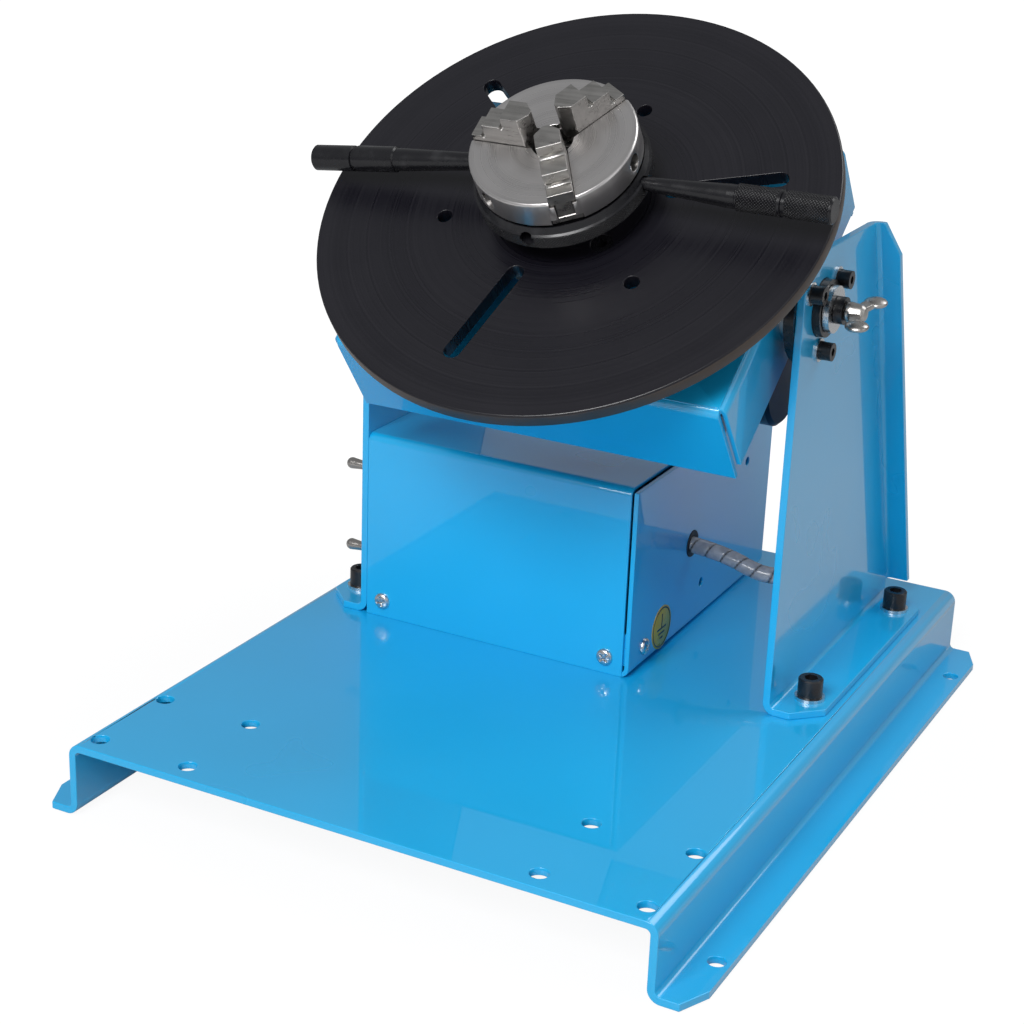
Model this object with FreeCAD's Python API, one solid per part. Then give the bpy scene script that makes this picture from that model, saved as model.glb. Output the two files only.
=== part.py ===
import FreeCAD, Part
import math
import os

os.makedirs("parts", exist_ok=True)

V = FreeCAD.Vector

# ---------------------------------------------------------------- base plate
base_side_margin = 26.5
base_depth = 325.0
base_height = 30.0
frame_sheet = 3.0
bend_inside = 2.0
base_flange = 14.5
flange_chamfer_x = 5.5
flange_chamfer_y = 12.0
flange_hole_r = 3.25
flange_hole_inset_x = 5.0
flange_hole_inset_y = 30.0
top_hole_r = 3.5
top_hole_pitch = 40.0
top_hole_edge_x = 8.2
top_hole_edge_y = 8.7

# ---------------------------------------------------------------- uprights
upright_outer_x = 94.0
upright_rise = 182.5
rear_bend_over_foot = 8.15
upright_rake = 0.38
foot_length = 140.0
foot_width = 22.5
foot_chamfer = 11.0
rear_flange_width = 12.3
rear_flange_chamfer_x = 6.5
rear_flange_chamfer_z = 14.0
foot_bolt_out = 10.2
foot_bolt_front = 17.3
foot_bolt_rear = 18.1
foot_bolt_r = 3.0
foot_bolt_clearance = 0.3
bolt_head_r = 5.0
bolt_head_h = 6.0
spring_washer_r = 5.0
spring_washer_t = 1.6
flat_washer_r = 6.0
flat_washer_t = 1.4
foot_nut_flats = 10.0
foot_nut_h = 5.0

# ---------------------------------------------------------------- tilt axis
axis_y = 19.9
axis_rise = 160.7
tilt_rest_deg = 36.8
shaft_r = 6.0
running_clearance = 0.05
bush_wall = 1.0
nose_r = 11.0
pivot_flange_r = 22.0
pivot_flange_t = 4.0
nose_stand = 3.0
pivot_screw_circle = 16.5
pivot_screw_r = 2.0
pivot_screw_head_r = 3.5
pivot_screw_head_h = 4.0
pivot_flat_washer_r = 4.5
pivot_flat_washer_t = 0.8
pivot_spring_washer_r = 3.6
pivot_spring_washer_t = 1.0
shaft_flange_r = 15.0
shaft_flange_t = 3.0
side_gap = 0.3
friction_washer_t = 1.1
clamp_washer_r = 9.0
clamp_washer_t = 1.2
collar_r = 5.2
collar_length = 3.3
wing_stem_r = 3.0
wing_hub_r = 4.2
wing_hub_length = 8.5
wing_reach = 12.0
wing_height = 14.0
wing_thickness = 3.0
wing_rest_deg = 13.0

# ---------------------------------------------------------------- tilting tray
tray_half_u = 67.0
tray_top = 16.4
tray_sheet = 2.0
tray_long_wall = 39.9
tray_side_wall = 33.6
tray_notch = 2.3
tray_hole_r = 16.0

# ---------------------------------------------------------------- turntable drive
table_r = 102.0
table_t = 6.0
table_over_tray = 16.9
table_bore_r = 8.0
table_chamfer = 0.6
slot_width = 7.0
slot_inner_r = 35.0
slot_outer_r = 82.0
slot_angle = 18.3
tap_circle_r = 50.5
tap_r = 3.0
tap_angle = 79.0
table_screw_circle = 26.0
table_screw_angle = 78.0
table_screw_r = 2.5
table_screw_head_r = 4.2
table_screw_head_h = 3.2
hub_flange_r = 34.0
hub_flange_t = 6.0
spindle_r = 8.5
spindle_neck_r = 10.5
spindle_bore_r = 4.0
spindle_tail = 46.0
journal_r = 8.0
bearing_outer_r = 13.0
bearing_width = 5.0
bearing_race = 1.6
housing_flange_r = 30.0
housing_flange_t = 4.0
housing_body_r = 17.0
housing_length = 20.4
housing_screw_circle = 24.0
small_screw_r = 2.0
small_head_r = 3.4
small_head_h = 2.4
gear_module = 1.0
table_teeth = 54
pinion_teeth = 18
gear_width = 7.0
gear_gap = 2.0
gear_backlash = 0.12
centre_ease = 0.12
pinion_shaft_r = 3.0
nut_r = 12.0
nut_h = 5.0
gearbox_x = (18.0, 56.0)
gearbox_u = (-31.0, 18.0)
gearbox_height = 35.0
gearbox_gap = 2.0
motor_r = 18.0
motor_wall_gap = 2.6
motor_u = -12.0
motor_drop = 17.0
motor_boss_r = 5.0
motor_boss_reach = 24.0
motor_boss_end_gap = 7.0
bracket_t = 3.0
bracket_x = (26.0, 54.0)
bracket_foot = 17.0
brush_x = (-31.0, -34.0)
brush_half_u = 6.0
brush_sleeve_h = 10.0
brush_side = 5.0
brush_drop = 8.0

# ---------------------------------------------------------------- chuck
chuck_base_r = 21.0
chuck_base_h = 11.2
hub_r = 13.0
chuck_bore_r = 8.0
hub_h = 9.9
body_r = 32.0
body_t = 11.4
body_hole_r = 3.25
jaw_count = 3
jaw_angle = 60.0
jaw_width = 9.6
jaw_neck = 6.3
jaw_foot = 11.5
jaw_foot_t = 2.3
jaw_side_fit = 0.15
jaw_fit = 0.3
slot_top_depth = 2.2
scroll_r = 34.0
scroll_shoulder_r = 32.0
scroll_band = 6.1
scroll_floor = 7.2
scroll_height = 9.1
scroll_gap = 0.3
scroll_lead = 3.0
scroll_wall = 1.1
scroll_first_r = 14.6
scroll_last_r = 31.2
tooth_rows = 3
tooth_first_r = 18.4
jaw_in = 4.2
jaw_out = 4.0
lever_level = 4.5
lever_hole_r = 2.8
lever_hole_depth = 9.0
lever_tip_r = 2.3
lever_handle_r = 5.0
lever_droop_deg = 6.0
right_bar = (70.0, 106.8, 2.6)
left_bar = (71.0, 108.0, 3.2)

# ---------------------------------------------------------------- control box
box_width = 124.0
box_behind_foot = 5.0
box_rise = 81.3
box_sheet = 1.5
side_plate_t = 2.0
side_plate_rise = 79.9
cover_gap = 1.0
cover_screw_x = (-83.1, 22.2)
cover_screw_rise = 7.4
cover_screw_r = 2.0
cover_screw_head_r = 3.5
cover_screw_head_h = 1.8
clip_length = 17.0
clip_height = 14.0
cable_y = 58.9
cable_rise = 39.4
cable_r = 3.5
grommet_wall = 2.2
side_holes = ((71.9, 17.3), (116.6, 59.0))
side_hole_r = 2.0
earth_y = 14.3
earth_rise = 9.1
toggle_y = 28.0
toggle_rises = (55.0, 17.0)
toggle_bush_r = 3.0
toggle_bush_reach = 7.0
toggle_body_depth = 18.0
lever_reach = 20.5
lever_neck_r = 1.2
lever_neck_end = 5.5
lever_tip_round = 2.5
knob_y = 80.0
knob_rise = 50.0
knob_r = 7.5
knob_length = 11.0
socket_y = 80.0
socket_rise = 18.0
inlet_rear = 27.0
inlet_rise = 34.0
socket_r = 6.5
supply_x = (-64.0, -34.0)
supply_front = 22.0
supply_rear_gap = 17.0
supply_height = 52.0
controller_x = (-24.0, 18.0)
controller_front = 28.0
controller_rear_gap = 33.0
controller_over_cable = 6.0

# ---------------------------------------------------------------- derived sizes
web_x = upright_outer_x + base_side_margin
half_width = web_x + base_flange
half_depth = base_depth / 2
foot_bolt_y = (foot_bolt_front, foot_length - foot_bolt_rear)
upright_top_depth = foot_length + rear_bend_over_foot - upright_rake * upright_rise
upright_inner_x = upright_outer_x - frame_sheet
upright_top = base_height + upright_rise
axis_z = base_height + axis_rise
foot_top = base_height + frame_sheet
box_right_x = box_width - upright_inner_x
box_depth = foot_length + box_behind_foot
inlet_y = box_depth - inlet_rear
shaft_flange_x = upright_inner_x - pivot_flange_t - side_gap - friction_washer_t
tray_half_x = shaft_flange_x - shaft_flange_t
motor_length = tray_half_x - tray_sheet - motor_wall_gap - gearbox_x[1]
tray_under = tray_top - tray_sheet
table_under = tray_top + table_over_tray
table_top = table_under + table_t
hub_under = table_under - hub_flange_t
housing_end = tray_under - housing_length
gear_top = housing_end - gear_gap
gear_under = gear_top - gear_width
pinion_x = gear_module * (table_teeth + pinion_teeth) / 2 + centre_ease
gearbox_top = gear_under - gearbox_gap
gearbox_under = gearbox_top - gearbox_height
motor_v = gearbox_top - motor_drop
nut_under = gear_under - nut_h
spindle_end = tray_top - spindle_tail
chuck_base_top = table_top + chuck_base_h
body_under = chuck_base_top + hub_h
body_top = body_under + body_t
scroll_under = chuck_base_top + scroll_gap
scroll_floor_v = scroll_under + scroll_floor
scroll_top = scroll_under + scroll_height
jaw_under = body_under + jaw_fit
lever_v = scroll_under + lever_level
tooth_t = scroll_wall
bush_r = shaft_r + running_clearance
housing_bore_r = bush_r + bush_wall
nose_end_x = upright_outer_x + nose_stand
screw_angles = (30.0, 150.0, 270.0)


# ---------------------------------------------------------------- helpers
def block(x, y, z):
    """Box between two limits on each axis."""
    size = (x[1] - x[0], y[1] - y[0], z[1] - z[0])
    return Part.makeBox(size[0], size[1], size[2], V(x[0], y[0], z[0]))


def rod(radius, start, along, length):
    """Solid cylinder from a point."""
    return Part.makeCylinder(radius, length, V(*start), V(*along))


def tube(outer, inner, start, along, length):
    """Hollow cylinder from a point."""
    return rod(outer, start, along, length).cut(rod(inner, start, along, length))


def revolved(profile, centre, along):
    """Solid of revolution from (radius, height) points about an axis."""
    points = [V(radius, 0, height) for radius, height in profile]
    face = Part.Face(Part.makePolygon(points + points[:1]))
    solid = face.revolve(V(0, 0, 0), V(0, 0, 1), 360)
    turn = FreeCAD.Rotation(V(0, 0, 1), V(*along))
    solid.Placement = FreeCAD.Placement(V(*centre), turn).multiply(solid.Placement)
    return solid


def prism(points, push):
    """Flat polygon pushed along a vector."""
    corners = [V(*point) for point in points]
    return Part.Face(Part.makePolygon(corners + corners[:1])).extrude(V(*push))


def hexagon(flats, start, along, length):
    """Hexagonal bar of a width across flats along X or Z."""
    radius = flats / math.sqrt(3)
    points = []
    for step in range(6):
        angle = math.radians(60 * step)
        a = radius * math.cos(angle)
        b = radius * math.sin(angle)
        if along == "x":
            points.append((start[0], start[1] + a, start[2] + b))
        else:
            points.append((start[0] + a, start[1] + b, start[2]))
    push = (length, 0, 0) if along == "x" else (0, 0, length)
    return prism(points, push)


def turned(shape, degrees, centre=(0, 0, 0), along=(0, 0, 1)):
    """Copy of a shape turned about an axis."""
    copy = shape.copy()
    copy.rotate(V(*centre), V(*along), degrees)
    return copy


def mirrored(shape):
    """Copy of a shape on the other side of the middle plane."""
    return shape.mirror(V(0, 0, 0), V(1, 0, 0))


def tilted(shape):
    """Copy of a tray-side shape, put on the tilt axis at its angle of rest."""
    copy = turned(shape, tilt_rest_deg, along=(1, 0, 0))
    copy.translate(V(0, axis_y, axis_z))
    return copy


def group(shapes):
    """Several separate solids kept as one node."""
    return Part.makeCompound(shapes)


def left_offset(points, distance):
    """Mitred copy of an open path, moved to its left."""
    normals = []
    for first, second in zip(points, points[1:]):
        length = math.dist(first, second)
        normals.append((-(second[1] - first[1]) / length, (second[0] - first[0]) / length))
    moved = []
    for index, point in enumerate(points):
        before = normals[max(index - 1, 0)]
        after = normals[min(index, len(normals) - 1)]
        scale = distance / (1 + before[0] * after[0] + before[1] * after[1])
        shift = ((before[0] + after[0]) * scale, (before[1] + after[1]) * scale)
        moved.append((point[0] + shift[0], point[1] + shift[1]))
    return moved


def rounded_path(points, radii):
    """Edges of an open path whose inner corners are tangent arcs."""
    vectors = [V(*point) for point in points]
    edges = []
    start = vectors[0]
    for index in range(1, len(vectors) - 1):
        corner = vectors[index]
        back = (vectors[index - 1] - corner).normalize()
        ahead = (vectors[index + 1] - corner).normalize()
        half = back.getAngle(ahead) / 2
        reach = radii[index - 1] / math.tan(half)
        middle = (back + ahead).normalize()
        first = corner + back * reach
        last = corner + ahead * reach
        bow = radii[index - 1] / math.sin(half) - radii[index - 1]
        edges.append(Part.LineSegment(start, first).toShape())
        edges.append(Part.Arc(first, corner + middle * bow, last).toShape())
        start = last
    edges.append(Part.LineSegment(start, vectors[-1]).toShape())
    return edges


def folded(points, thickness, plane, push):
    """Folded sheet: the path is one face, and the sheet lies to its right."""
    far = left_offset(points, -thickness)
    near_radii = []
    far_radii = []
    for before, corner, after in zip(points, points[1:], points[2:]):
        cross = (corner[0] - before[0]) * (after[1] - corner[1])
        cross -= (corner[1] - before[1]) * (after[0] - corner[0])
        inside_first = cross > 0
        near_radii.append(bend_inside if inside_first else bend_inside + thickness)
        far_radii.append(bend_inside + thickness if inside_first else bend_inside)
    near = rounded_path([plane(*point) for point in points], near_radii)
    away = rounded_path([plane(*point) for point in far], far_radii)
    ends = [
        Part.LineSegment(V(*plane(*points[-1])), V(*plane(*far[-1]))).toShape(),
        Part.LineSegment(V(*plane(*points[0])), V(*plane(*far[0]))).toShape(),
    ]
    wire = Part.Wire(Part.__sortEdges__(near + away + ends))
    return Part.Face(wire).extrude(V(*push))


def save(name, shape):
    """Write one node."""
    shape.exportStep("parts/" + name + ".step")


# ---------------------------------------------------------------- frame
def base_plate():
    """Hat-section base with outward floor flanges."""
    path = [
        (-half_width, frame_sheet),
        (-web_x, frame_sheet),
        (-web_x, base_height),
        (web_x, base_height),
        (web_x, frame_sheet),
        (half_width, frame_sheet),
    ]
    plate = folded(path, frame_sheet, lambda a, b: (a, -half_depth, b), (0, base_depth, 0))
    for side in (-1, 1):
        edge = side * half_width
        inner = edge - side * flange_chamfer_x
        for end in (-1, 1):
            tip = end * half_depth
            corner = [
                (edge, tip, -1),
                (inner, tip, -1),
                (edge, tip - end * flange_chamfer_y, -1),
            ]
            plate = plate.cut(prism(corner, (0, 0, frame_sheet + 2)))
            hole_x = edge - side * flange_hole_inset_x
            hole_y = tip - end * flange_hole_inset_y
            plate = plate.cut(rod(flange_hole_r, (hole_x, hole_y, -1), (0, 0, 1), frame_sheet + 2))
        for column in (0, 1):
            hole_x = side * (web_x - top_hole_edge_x - column * top_hole_pitch)
            for row in (0, 1):
                hole_y = -half_depth + top_hole_edge_y + row * top_hole_pitch
                start = (hole_x, hole_y, base_height - frame_sheet - 1)
                plate = plate.cut(rod(top_hole_r, start, (0, 0, 1), frame_sheet + 2))
        for hole_y in foot_bolt_y:
            start = (side * foot_bolt_x(), hole_y, base_height - frame_sheet - 1)
            plate = plate.cut(rod(foot_bolt_r + foot_bolt_clearance, start, (0, 0, 1), frame_sheet + 2))
    return plate


def foot_bolt_x():
    """Distance of the foot bolts from the middle plane."""
    return upright_outer_x + foot_bolt_out


def rear_edge_y(z):
    """Rear bend line of an upright at a height."""
    return upright_top_depth + upright_rake * (upright_top - z)


def upright():
    """Right-hand upright: web, outward foot and outward rear flange from one sheet."""
    corner_z = foot_top + bend_inside
    relief_z = foot_top + 6.0
    web_points = [
        (upright_inner_x, 0, corner_z),
        (upright_inner_x, foot_length, corner_z),
        (upright_inner_x, foot_length, relief_z),
        (upright_inner_x, rear_edge_y(relief_z) - 5, relief_z),
        (upright_inner_x, rear_edge_y(upright_top) - 5, upright_top),
        (upright_inner_x, 0, upright_top),
    ]
    web = prism(web_points, (frame_sheet, 0, 0))
    foot_path = [
        (upright_outer_x, relief_z + 2),
        (upright_outer_x, foot_top),
        (upright_inner_x + foot_width, foot_top),
    ]
    foot = folded(foot_path, frame_sheet, lambda a, b: (a, 0, b), (0, foot_length, 0))
    for end, inward in ((0, 1), (foot_length, -1)):
        tip_x = upright_inner_x + foot_width
        corner = [
            (tip_x, end, base_height - 1),
            (tip_x - foot_chamfer, end, base_height - 1),
            (tip_x, end + inward * foot_chamfer, base_height - 1),
        ]
        foot = foot.cut(prism(corner, (0, 0, frame_sheet + 2)))
    whole = web.fuse([foot, rear_flange(relief_z)]).removeSplitter()
    for hole_y in foot_bolt_y:
        start = (foot_bolt_x(), hole_y, base_height - 1)
        whole = whole.cut(rod(foot_bolt_r + foot_bolt_clearance, start, (0, 0, 1), frame_sheet + 2))
    start = (upright_inner_x - 1, axis_y, axis_z)
    whole = whole.cut(rod(nose_r + running_clearance, start, (1, 0, 0), frame_sheet + 2))
    for centre in pivot_screw_points(upright_inner_x - 1):
        whole = whole.cut(rod(pivot_screw_r + 0.2, centre, (1, 0, 0), frame_sheet + 2))
    return whole


def rear_flange(bottom):
    """Raked rear flange of an upright, with its sloping top corner."""
    rake = math.hypot(1, upright_rake)
    up = (0, -upright_rake / rake, 1 / rake)
    back = (0, 1 / rake, upright_rake / rake)
    start_z = bottom - 20
    start_y = rear_edge_y(start_z)

    def on_section(a, b):
        return (a, start_y + back[1] * b, start_z + back[2] * b)

    length = (upright_top - start_z) * rake + 20
    path = [
        (upright_inner_x + rear_flange_width, -frame_sheet),
        (upright_outer_x, -frame_sheet),
        (upright_outer_x, -12),
    ]
    sheet = folded(path, frame_sheet, on_section, tuple(part * length for part in up))
    tip_x = upright_inner_x + rear_flange_width + 0.5
    keep = [
        (upright_inner_x - 1, -1, bottom),
        (tip_x, -1, bottom),
        (tip_x, -1, upright_top - rear_flange_chamfer_z),
        (tip_x - rear_flange_chamfer_x, -1, upright_top),
        (upright_inner_x - 1, -1, upright_top),
    ]
    return sheet.common(prism(keep, (0, base_depth, 0)))


def pivot_screw_points(x):
    """Centres of the three pivot screws at one distance from the middle plane."""
    points = []
    for degrees in screw_angles:
        angle = math.radians(degrees)
        y = axis_y + pivot_screw_circle * math.cos(angle)
        z = axis_z + pivot_screw_circle * math.sin(angle)
        points.append((x, y, z))
    return points


def left_upright():
    """Left-hand upright, which is also the control panel."""
    panel = mirrored(upright())
    holes = [(toggle_y, rise, toggle_bush_r + 0.1) for rise in toggle_rises]
    holes.append((knob_y, knob_rise, toggle_bush_r + 0.6))
    holes.append((socket_y, socket_rise, socket_r + 0.1))
    holes.append((inlet_y, inlet_rise, socket_r + 0.1))
    for y, rise, radius in holes:
        start = (-upright_outer_x - 1, y, base_height + rise)
        panel = panel.cut(rod(radius, start, (1, 0, 0), frame_sheet + 2))
    return panel


def foot_stack(lift, height, outer, inner):
    """One ring over each foot bolt, at a height over the foot."""
    rings = []
    for side in (-1, 1):
        for y in foot_bolt_y:
            start = (side * foot_bolt_x(), y, foot_top + lift)
            rings.append(tube(outer, inner, start, (0, 0, 1), height))
    return rings


def pivot_stack(start_x, height, outer, inner):
    """One ring over each pivot screw on both uprights."""
    rings = []
    for centre in pivot_screw_points(start_x):
        ring = tube(outer, inner, centre, (1, 0, 0), height)
        rings.extend([ring, mirrored(ring)])
    return rings


def foot_bolts():
    """Socket-head bolts through the feet."""
    bolts = []
    seat = foot_top + flat_washer_t + spring_washer_t
    tail = base_height - frame_sheet - foot_nut_h - 1
    for side in (-1, 1):
        for y in foot_bolt_y:
            x = side * foot_bolt_x()
            head = rod(bolt_head_r, (x, y, seat), (0, 0, 1), bolt_head_h)
            head = head.makeChamfer(0.5, [edge for edge in head.Edges if is_top_circle(edge, seat + bolt_head_h)])
            shank = rod(foot_bolt_r, (x, y, tail), (0, 0, 1), seat - tail)
            key = hexagon(5.0, (x, y, seat + bolt_head_h - 3), "z", 4)
            bolts.append(head.fuse(shank).cut(key))
    return group(bolts)


def is_top_circle(edge, height):
    """Whether an edge is the rim of a head at a height."""
    level = abs(edge.BoundBox.ZMin - height) < 1e-6 and abs(edge.BoundBox.ZMax - height) < 1e-6
    return level and edge.BoundBox.XLength > 1


def foot_nuts():
    """Hexagon nuts under the base plate."""
    nuts = []
    start_z = base_height - frame_sheet - foot_nut_h
    for side in (-1, 1):
        for y in foot_bolt_y:
            centre = (side * foot_bolt_x(), y, start_z)
            nut = hexagon(foot_nut_flats, centre, "z", foot_nut_h)
            nuts.append(nut.cut(rod(foot_bolt_r, centre, (0, 0, 1), foot_nut_h)))
    return group(nuts)


def frame_nodes():
    """Base, uprights and their fasteners."""
    save("base_plate", base_plate())
    save("left_upright", left_upright())
    save("right_upright", upright())
    save("foot_bolts", foot_bolts())
    save("foot_nuts", foot_nuts())
    flats = foot_stack(0, flat_washer_t, flat_washer_r, foot_bolt_r)
    flats += pivot_stack(upright_outer_x, pivot_flat_washer_t, pivot_flat_washer_r, pivot_screw_r)
    save("flat_washers", group(flats))
    springs = foot_stack(flat_washer_t, spring_washer_t, spring_washer_r, foot_bolt_r)
    seat = upright_outer_x + pivot_flat_washer_t
    springs += pivot_stack(seat, pivot_spring_washer_t, pivot_spring_washer_r, pivot_screw_r)
    save("spring_washers", group(springs))


# ---------------------------------------------------------------- pivots
def pivot_housing():
    """Right-hand pivot housing: flange inside the upright, nose through it."""
    start = (upright_inner_x - pivot_flange_t, axis_y, axis_z)
    flange = rod(pivot_flange_r, start, (1, 0, 0), pivot_flange_t)
    nose = rod(nose_r, start, (1, 0, 0), nose_end_x - start[0])
    whole = flange.fuse(nose).cut(rod(housing_bore_r, start, (1, 0, 0), nose_end_x - start[0]))
    for centre in pivot_screw_points(start[0]):
        whole = whole.cut(rod(pivot_screw_r, centre, (1, 0, 0), pivot_flange_t))
    return whole


def pivot_bush():
    """Plain bush pressed into a pivot housing."""
    start = (upright_inner_x - pivot_flange_t, axis_y, axis_z)
    return tube(housing_bore_r, bush_r, start, (1, 0, 0), nose_end_x - start[0])


def pivot_screw(centre_index):
    """One socket-head screw of the right-hand pivot."""
    seat = upright_outer_x + pivot_flat_washer_t + pivot_spring_washer_t
    centre = pivot_screw_points(seat)[centre_index]
    head = rod(pivot_screw_head_r, centre, (1, 0, 0), pivot_screw_head_h)
    tail_x = upright_inner_x - pivot_flange_t
    shank = rod(pivot_screw_r, (tail_x, centre[1], centre[2]), (1, 0, 0), seat - tail_x)
    key_start = (seat + pivot_screw_head_h - 2.2, centre[1], centre[2])
    return head.fuse(shank).cut(hexagon(3.0, key_start, "x", 3))


def shaft_end_x():
    """Outer end of a pivot shaft, just inside the nose."""
    return nose_end_x - side_gap


def pivot_shaft():
    """Right-hand pivot shaft with its flange on the tray wall and a tapped end."""
    start = (tray_half_x, axis_y, axis_z)
    flange = rod(shaft_flange_r, start, (1, 0, 0), shaft_flange_t)
    shaft = rod(shaft_r, start, (1, 0, 0), shaft_end_x() - tray_half_x)
    spigot_start = (tray_half_x - tray_sheet, axis_y, axis_z)
    spigot = rod(shaft_r, spigot_start, (1, 0, 0), tray_sheet)
    whole = flange.fuse([shaft, spigot])
    hole = rod(wing_stem_r + running_clearance, spigot_start, (1, 0, 0), shaft_end_x() - spigot_start[0])
    return whole.cut(hole)


def friction_washer():
    """Fibre washer between the shaft flange and the pivot housing."""
    start_x = tray_half_x + shaft_flange_t
    outer = shaft_flange_r - 1
    return tube(outer, shaft_r + running_clearance, (start_x, axis_y, axis_z), (1, 0, 0), friction_washer_t)


def washer_start_x():
    """Inner face of the first clamp washer."""
    return nose_end_x + side_gap


def clamp_washers():
    """Two zinc washers under the clamp collar."""
    rings = []
    for index in (0, 1):
        start = (washer_start_x() + index * clamp_washer_t, axis_y, axis_z)
        rings.append(tube(clamp_washer_r, wing_stem_r + 0.1, start, (1, 0, 0), clamp_washer_t))
    return group(rings)


def collar_start_x():
    """Inner face of the clamp collar."""
    return washer_start_x() + 2 * clamp_washer_t + side_gap


def clamp_collar():
    """Black distance collar carried along by the wing screw."""
    start = (collar_start_x(), axis_y, axis_z)
    return tube(collar_r, wing_stem_r + running_clearance, start, (1, 0, 0), collar_length)


def wing_screw():
    """Wing screw: threaded stem, tapered hub and two rounded wings."""
    hub_x = collar_start_x() + collar_length + side_gap
    end_x = hub_x + wing_reach
    stem = rod(wing_stem_r, (tray_half_x - tray_sheet, axis_y, axis_z), (1, 0, 0), hub_x - tray_half_x + 4)
    profile = [
        (0, 0),
        (wing_hub_r, 0),
        (wing_hub_r, 1.5),
        (wing_hub_r - 0.6, wing_hub_length - 1.5),
        (wing_hub_r - 1.6, wing_hub_length),
        (0, wing_hub_length),
    ]
    hub = revolved(profile, (hub_x, axis_y, axis_z), (1, 0, 0))
    wings = [stem]
    for side in (-1, 1):
        inner = axis_y + side * 1.0
        outline = [
            V(hub_x + 0.8, inner, axis_z),
            V(hub_x + 1.8, axis_y + side * 6.5, axis_z),
            V(hub_x + 4.5, axis_y + side * wing_height, axis_z),
            V(end_x, axis_y + side * wing_height, axis_z),
            V(end_x, axis_y + side * (wing_height - 8.0), axis_z),
            V(hub_x + 6.0, axis_y + side * 4.6, axis_z),
            V(hub_x + 6.0, inner, axis_z),
        ]
        radii = (3.0, 3.0, 3.5, 3.0, 1.2)
        edges = rounded_path(outline, radii)
        edges.append(Part.LineSegment(outline[-1], outline[0]).toShape())
        face = Part.Face(Part.Wire(edges))
        face.translate(V(0, 0, -wing_thickness / 2))
        wings.append(face.extrude(V(0, 0, wing_thickness)))
    return turned(hub.fuse(wings), wing_rest_deg, (0, axis_y, axis_z), (1, 0, 0))


def retaining_screw():
    """Plain screw and washer that keep the left-hand shaft in its bush."""
    seat = washer_start_x() + clamp_washer_t
    stem_x = tray_half_x
    stem = rod(wing_stem_r, (stem_x, axis_y, axis_z), (1, 0, 0), seat - stem_x)
    head = rod(5.0, (seat, axis_y, axis_z), (1, 0, 0), 5.0)
    key = hexagon(5.0, (seat + 2.5, axis_y, axis_z), "x", 3)
    start = (washer_start_x(), axis_y, axis_z)
    washer = tube(clamp_washer_r, wing_stem_r, start, (1, 0, 0), clamp_washer_t)
    return group([mirrored(stem.fuse(head).cut(key)), mirrored(washer)])


def pivot_nodes():
    """Both ends of the tilt axis."""
    save("right_pivot_housing", pivot_housing())
    save("left_pivot_housing", mirrored(pivot_housing()))
    save("pivot_bushes", group([pivot_bush(), mirrored(pivot_bush())]))
    screws = [pivot_screw(index) for index in range(len(screw_angles))]
    save("pivot_flange_screws", group(screws + [mirrored(screw) for screw in screws]))
    save("right_pivot_shaft", pivot_shaft())
    save("left_pivot_shaft", mirrored(pivot_shaft()))
    save("friction_washers", group([friction_washer(), mirrored(friction_washer())]))
    save("clamp_washers", clamp_washers())
    save("clamp_collar", clamp_collar())
    save("wing_screw", wing_screw())
    save("retaining_screw", retaining_screw())


# ---------------------------------------------------------------- tray and drive
def tilt_housing():
    """Folded tray: two long walls and two side walls with corner notches."""
    half_x = tray_half_x - tray_notch
    half_u = tray_half_u - tray_notch
    side_path = [
        (-tray_half_x, tray_top - tray_side_wall),
        (-tray_half_x, tray_top),
        (tray_half_x, tray_top),
        (tray_half_x, tray_top - tray_side_wall),
    ]
    sides = folded(side_path, tray_sheet, lambda a, b: (a, -half_u, b), (0, 2 * half_u, 0))
    long_path = [
        (-tray_half_u, tray_top - tray_long_wall),
        (-tray_half_u, tray_top),
        (tray_half_u, tray_top),
        (tray_half_u, tray_top - tray_long_wall),
    ]
    walls = folded(long_path, tray_sheet, lambda a, b: (-half_x, a, b), (2 * half_x, 0, 0))
    tray = sides.fuse(walls).removeSplitter()
    tray = tray.cut(rod(tray_hole_r, (0, 0, tray_under - 1), (0, 0, 1), tray_sheet + 2))
    tray = tray.cut(rod(shaft_r, (-tray_half_x - 1, 0, 0), (1, 0, 0), 2 * tray_half_x + 2))
    for x, u in housing_screw_points() + bracket_screw_points() + brush_screw_points():
        tray = tray.cut(rod(small_screw_r, (x, u, tray_under - 1), (0, 0, 1), tray_sheet + 2))
    return tray


def housing_screw_points():
    """Screws that hold the bearing housing under the tray."""
    points = []
    for step in range(4):
        angle = math.radians(45 + 90 * step)
        points.append((housing_screw_circle * math.cos(angle), housing_screw_circle * math.sin(angle)))
    return points


def bracket_screw_points():
    """Screws that hold the motor bracket under the tray."""
    middle = (bracket_x[0] + bracket_x[1]) / 2
    u = gearbox_u[1] + bracket_t + bracket_foot / 2 + 1
    return [(middle - 7, u), (middle + 7, u)]


def brush_screw_points():
    """Screw that holds the brush bracket under the tray."""
    return [(brush_x[1] - 7, 0)]


def tray_screw(x, u):
    """Pan-head screw through the tray top."""
    head = rod(small_head_r, (x, u, tray_top), (0, 0, 1), small_head_h)
    rim = [edge for edge in head.Edges if is_top_circle(edge, tray_top + small_head_h)]
    shank_end = tray_under - bracket_t
    shank = rod(small_screw_r, (x, u, shank_end), (0, 0, 1), tray_top - shank_end)
    return head.makeChamfer(small_head_h * 0.4, rim).fuse(shank)


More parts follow.
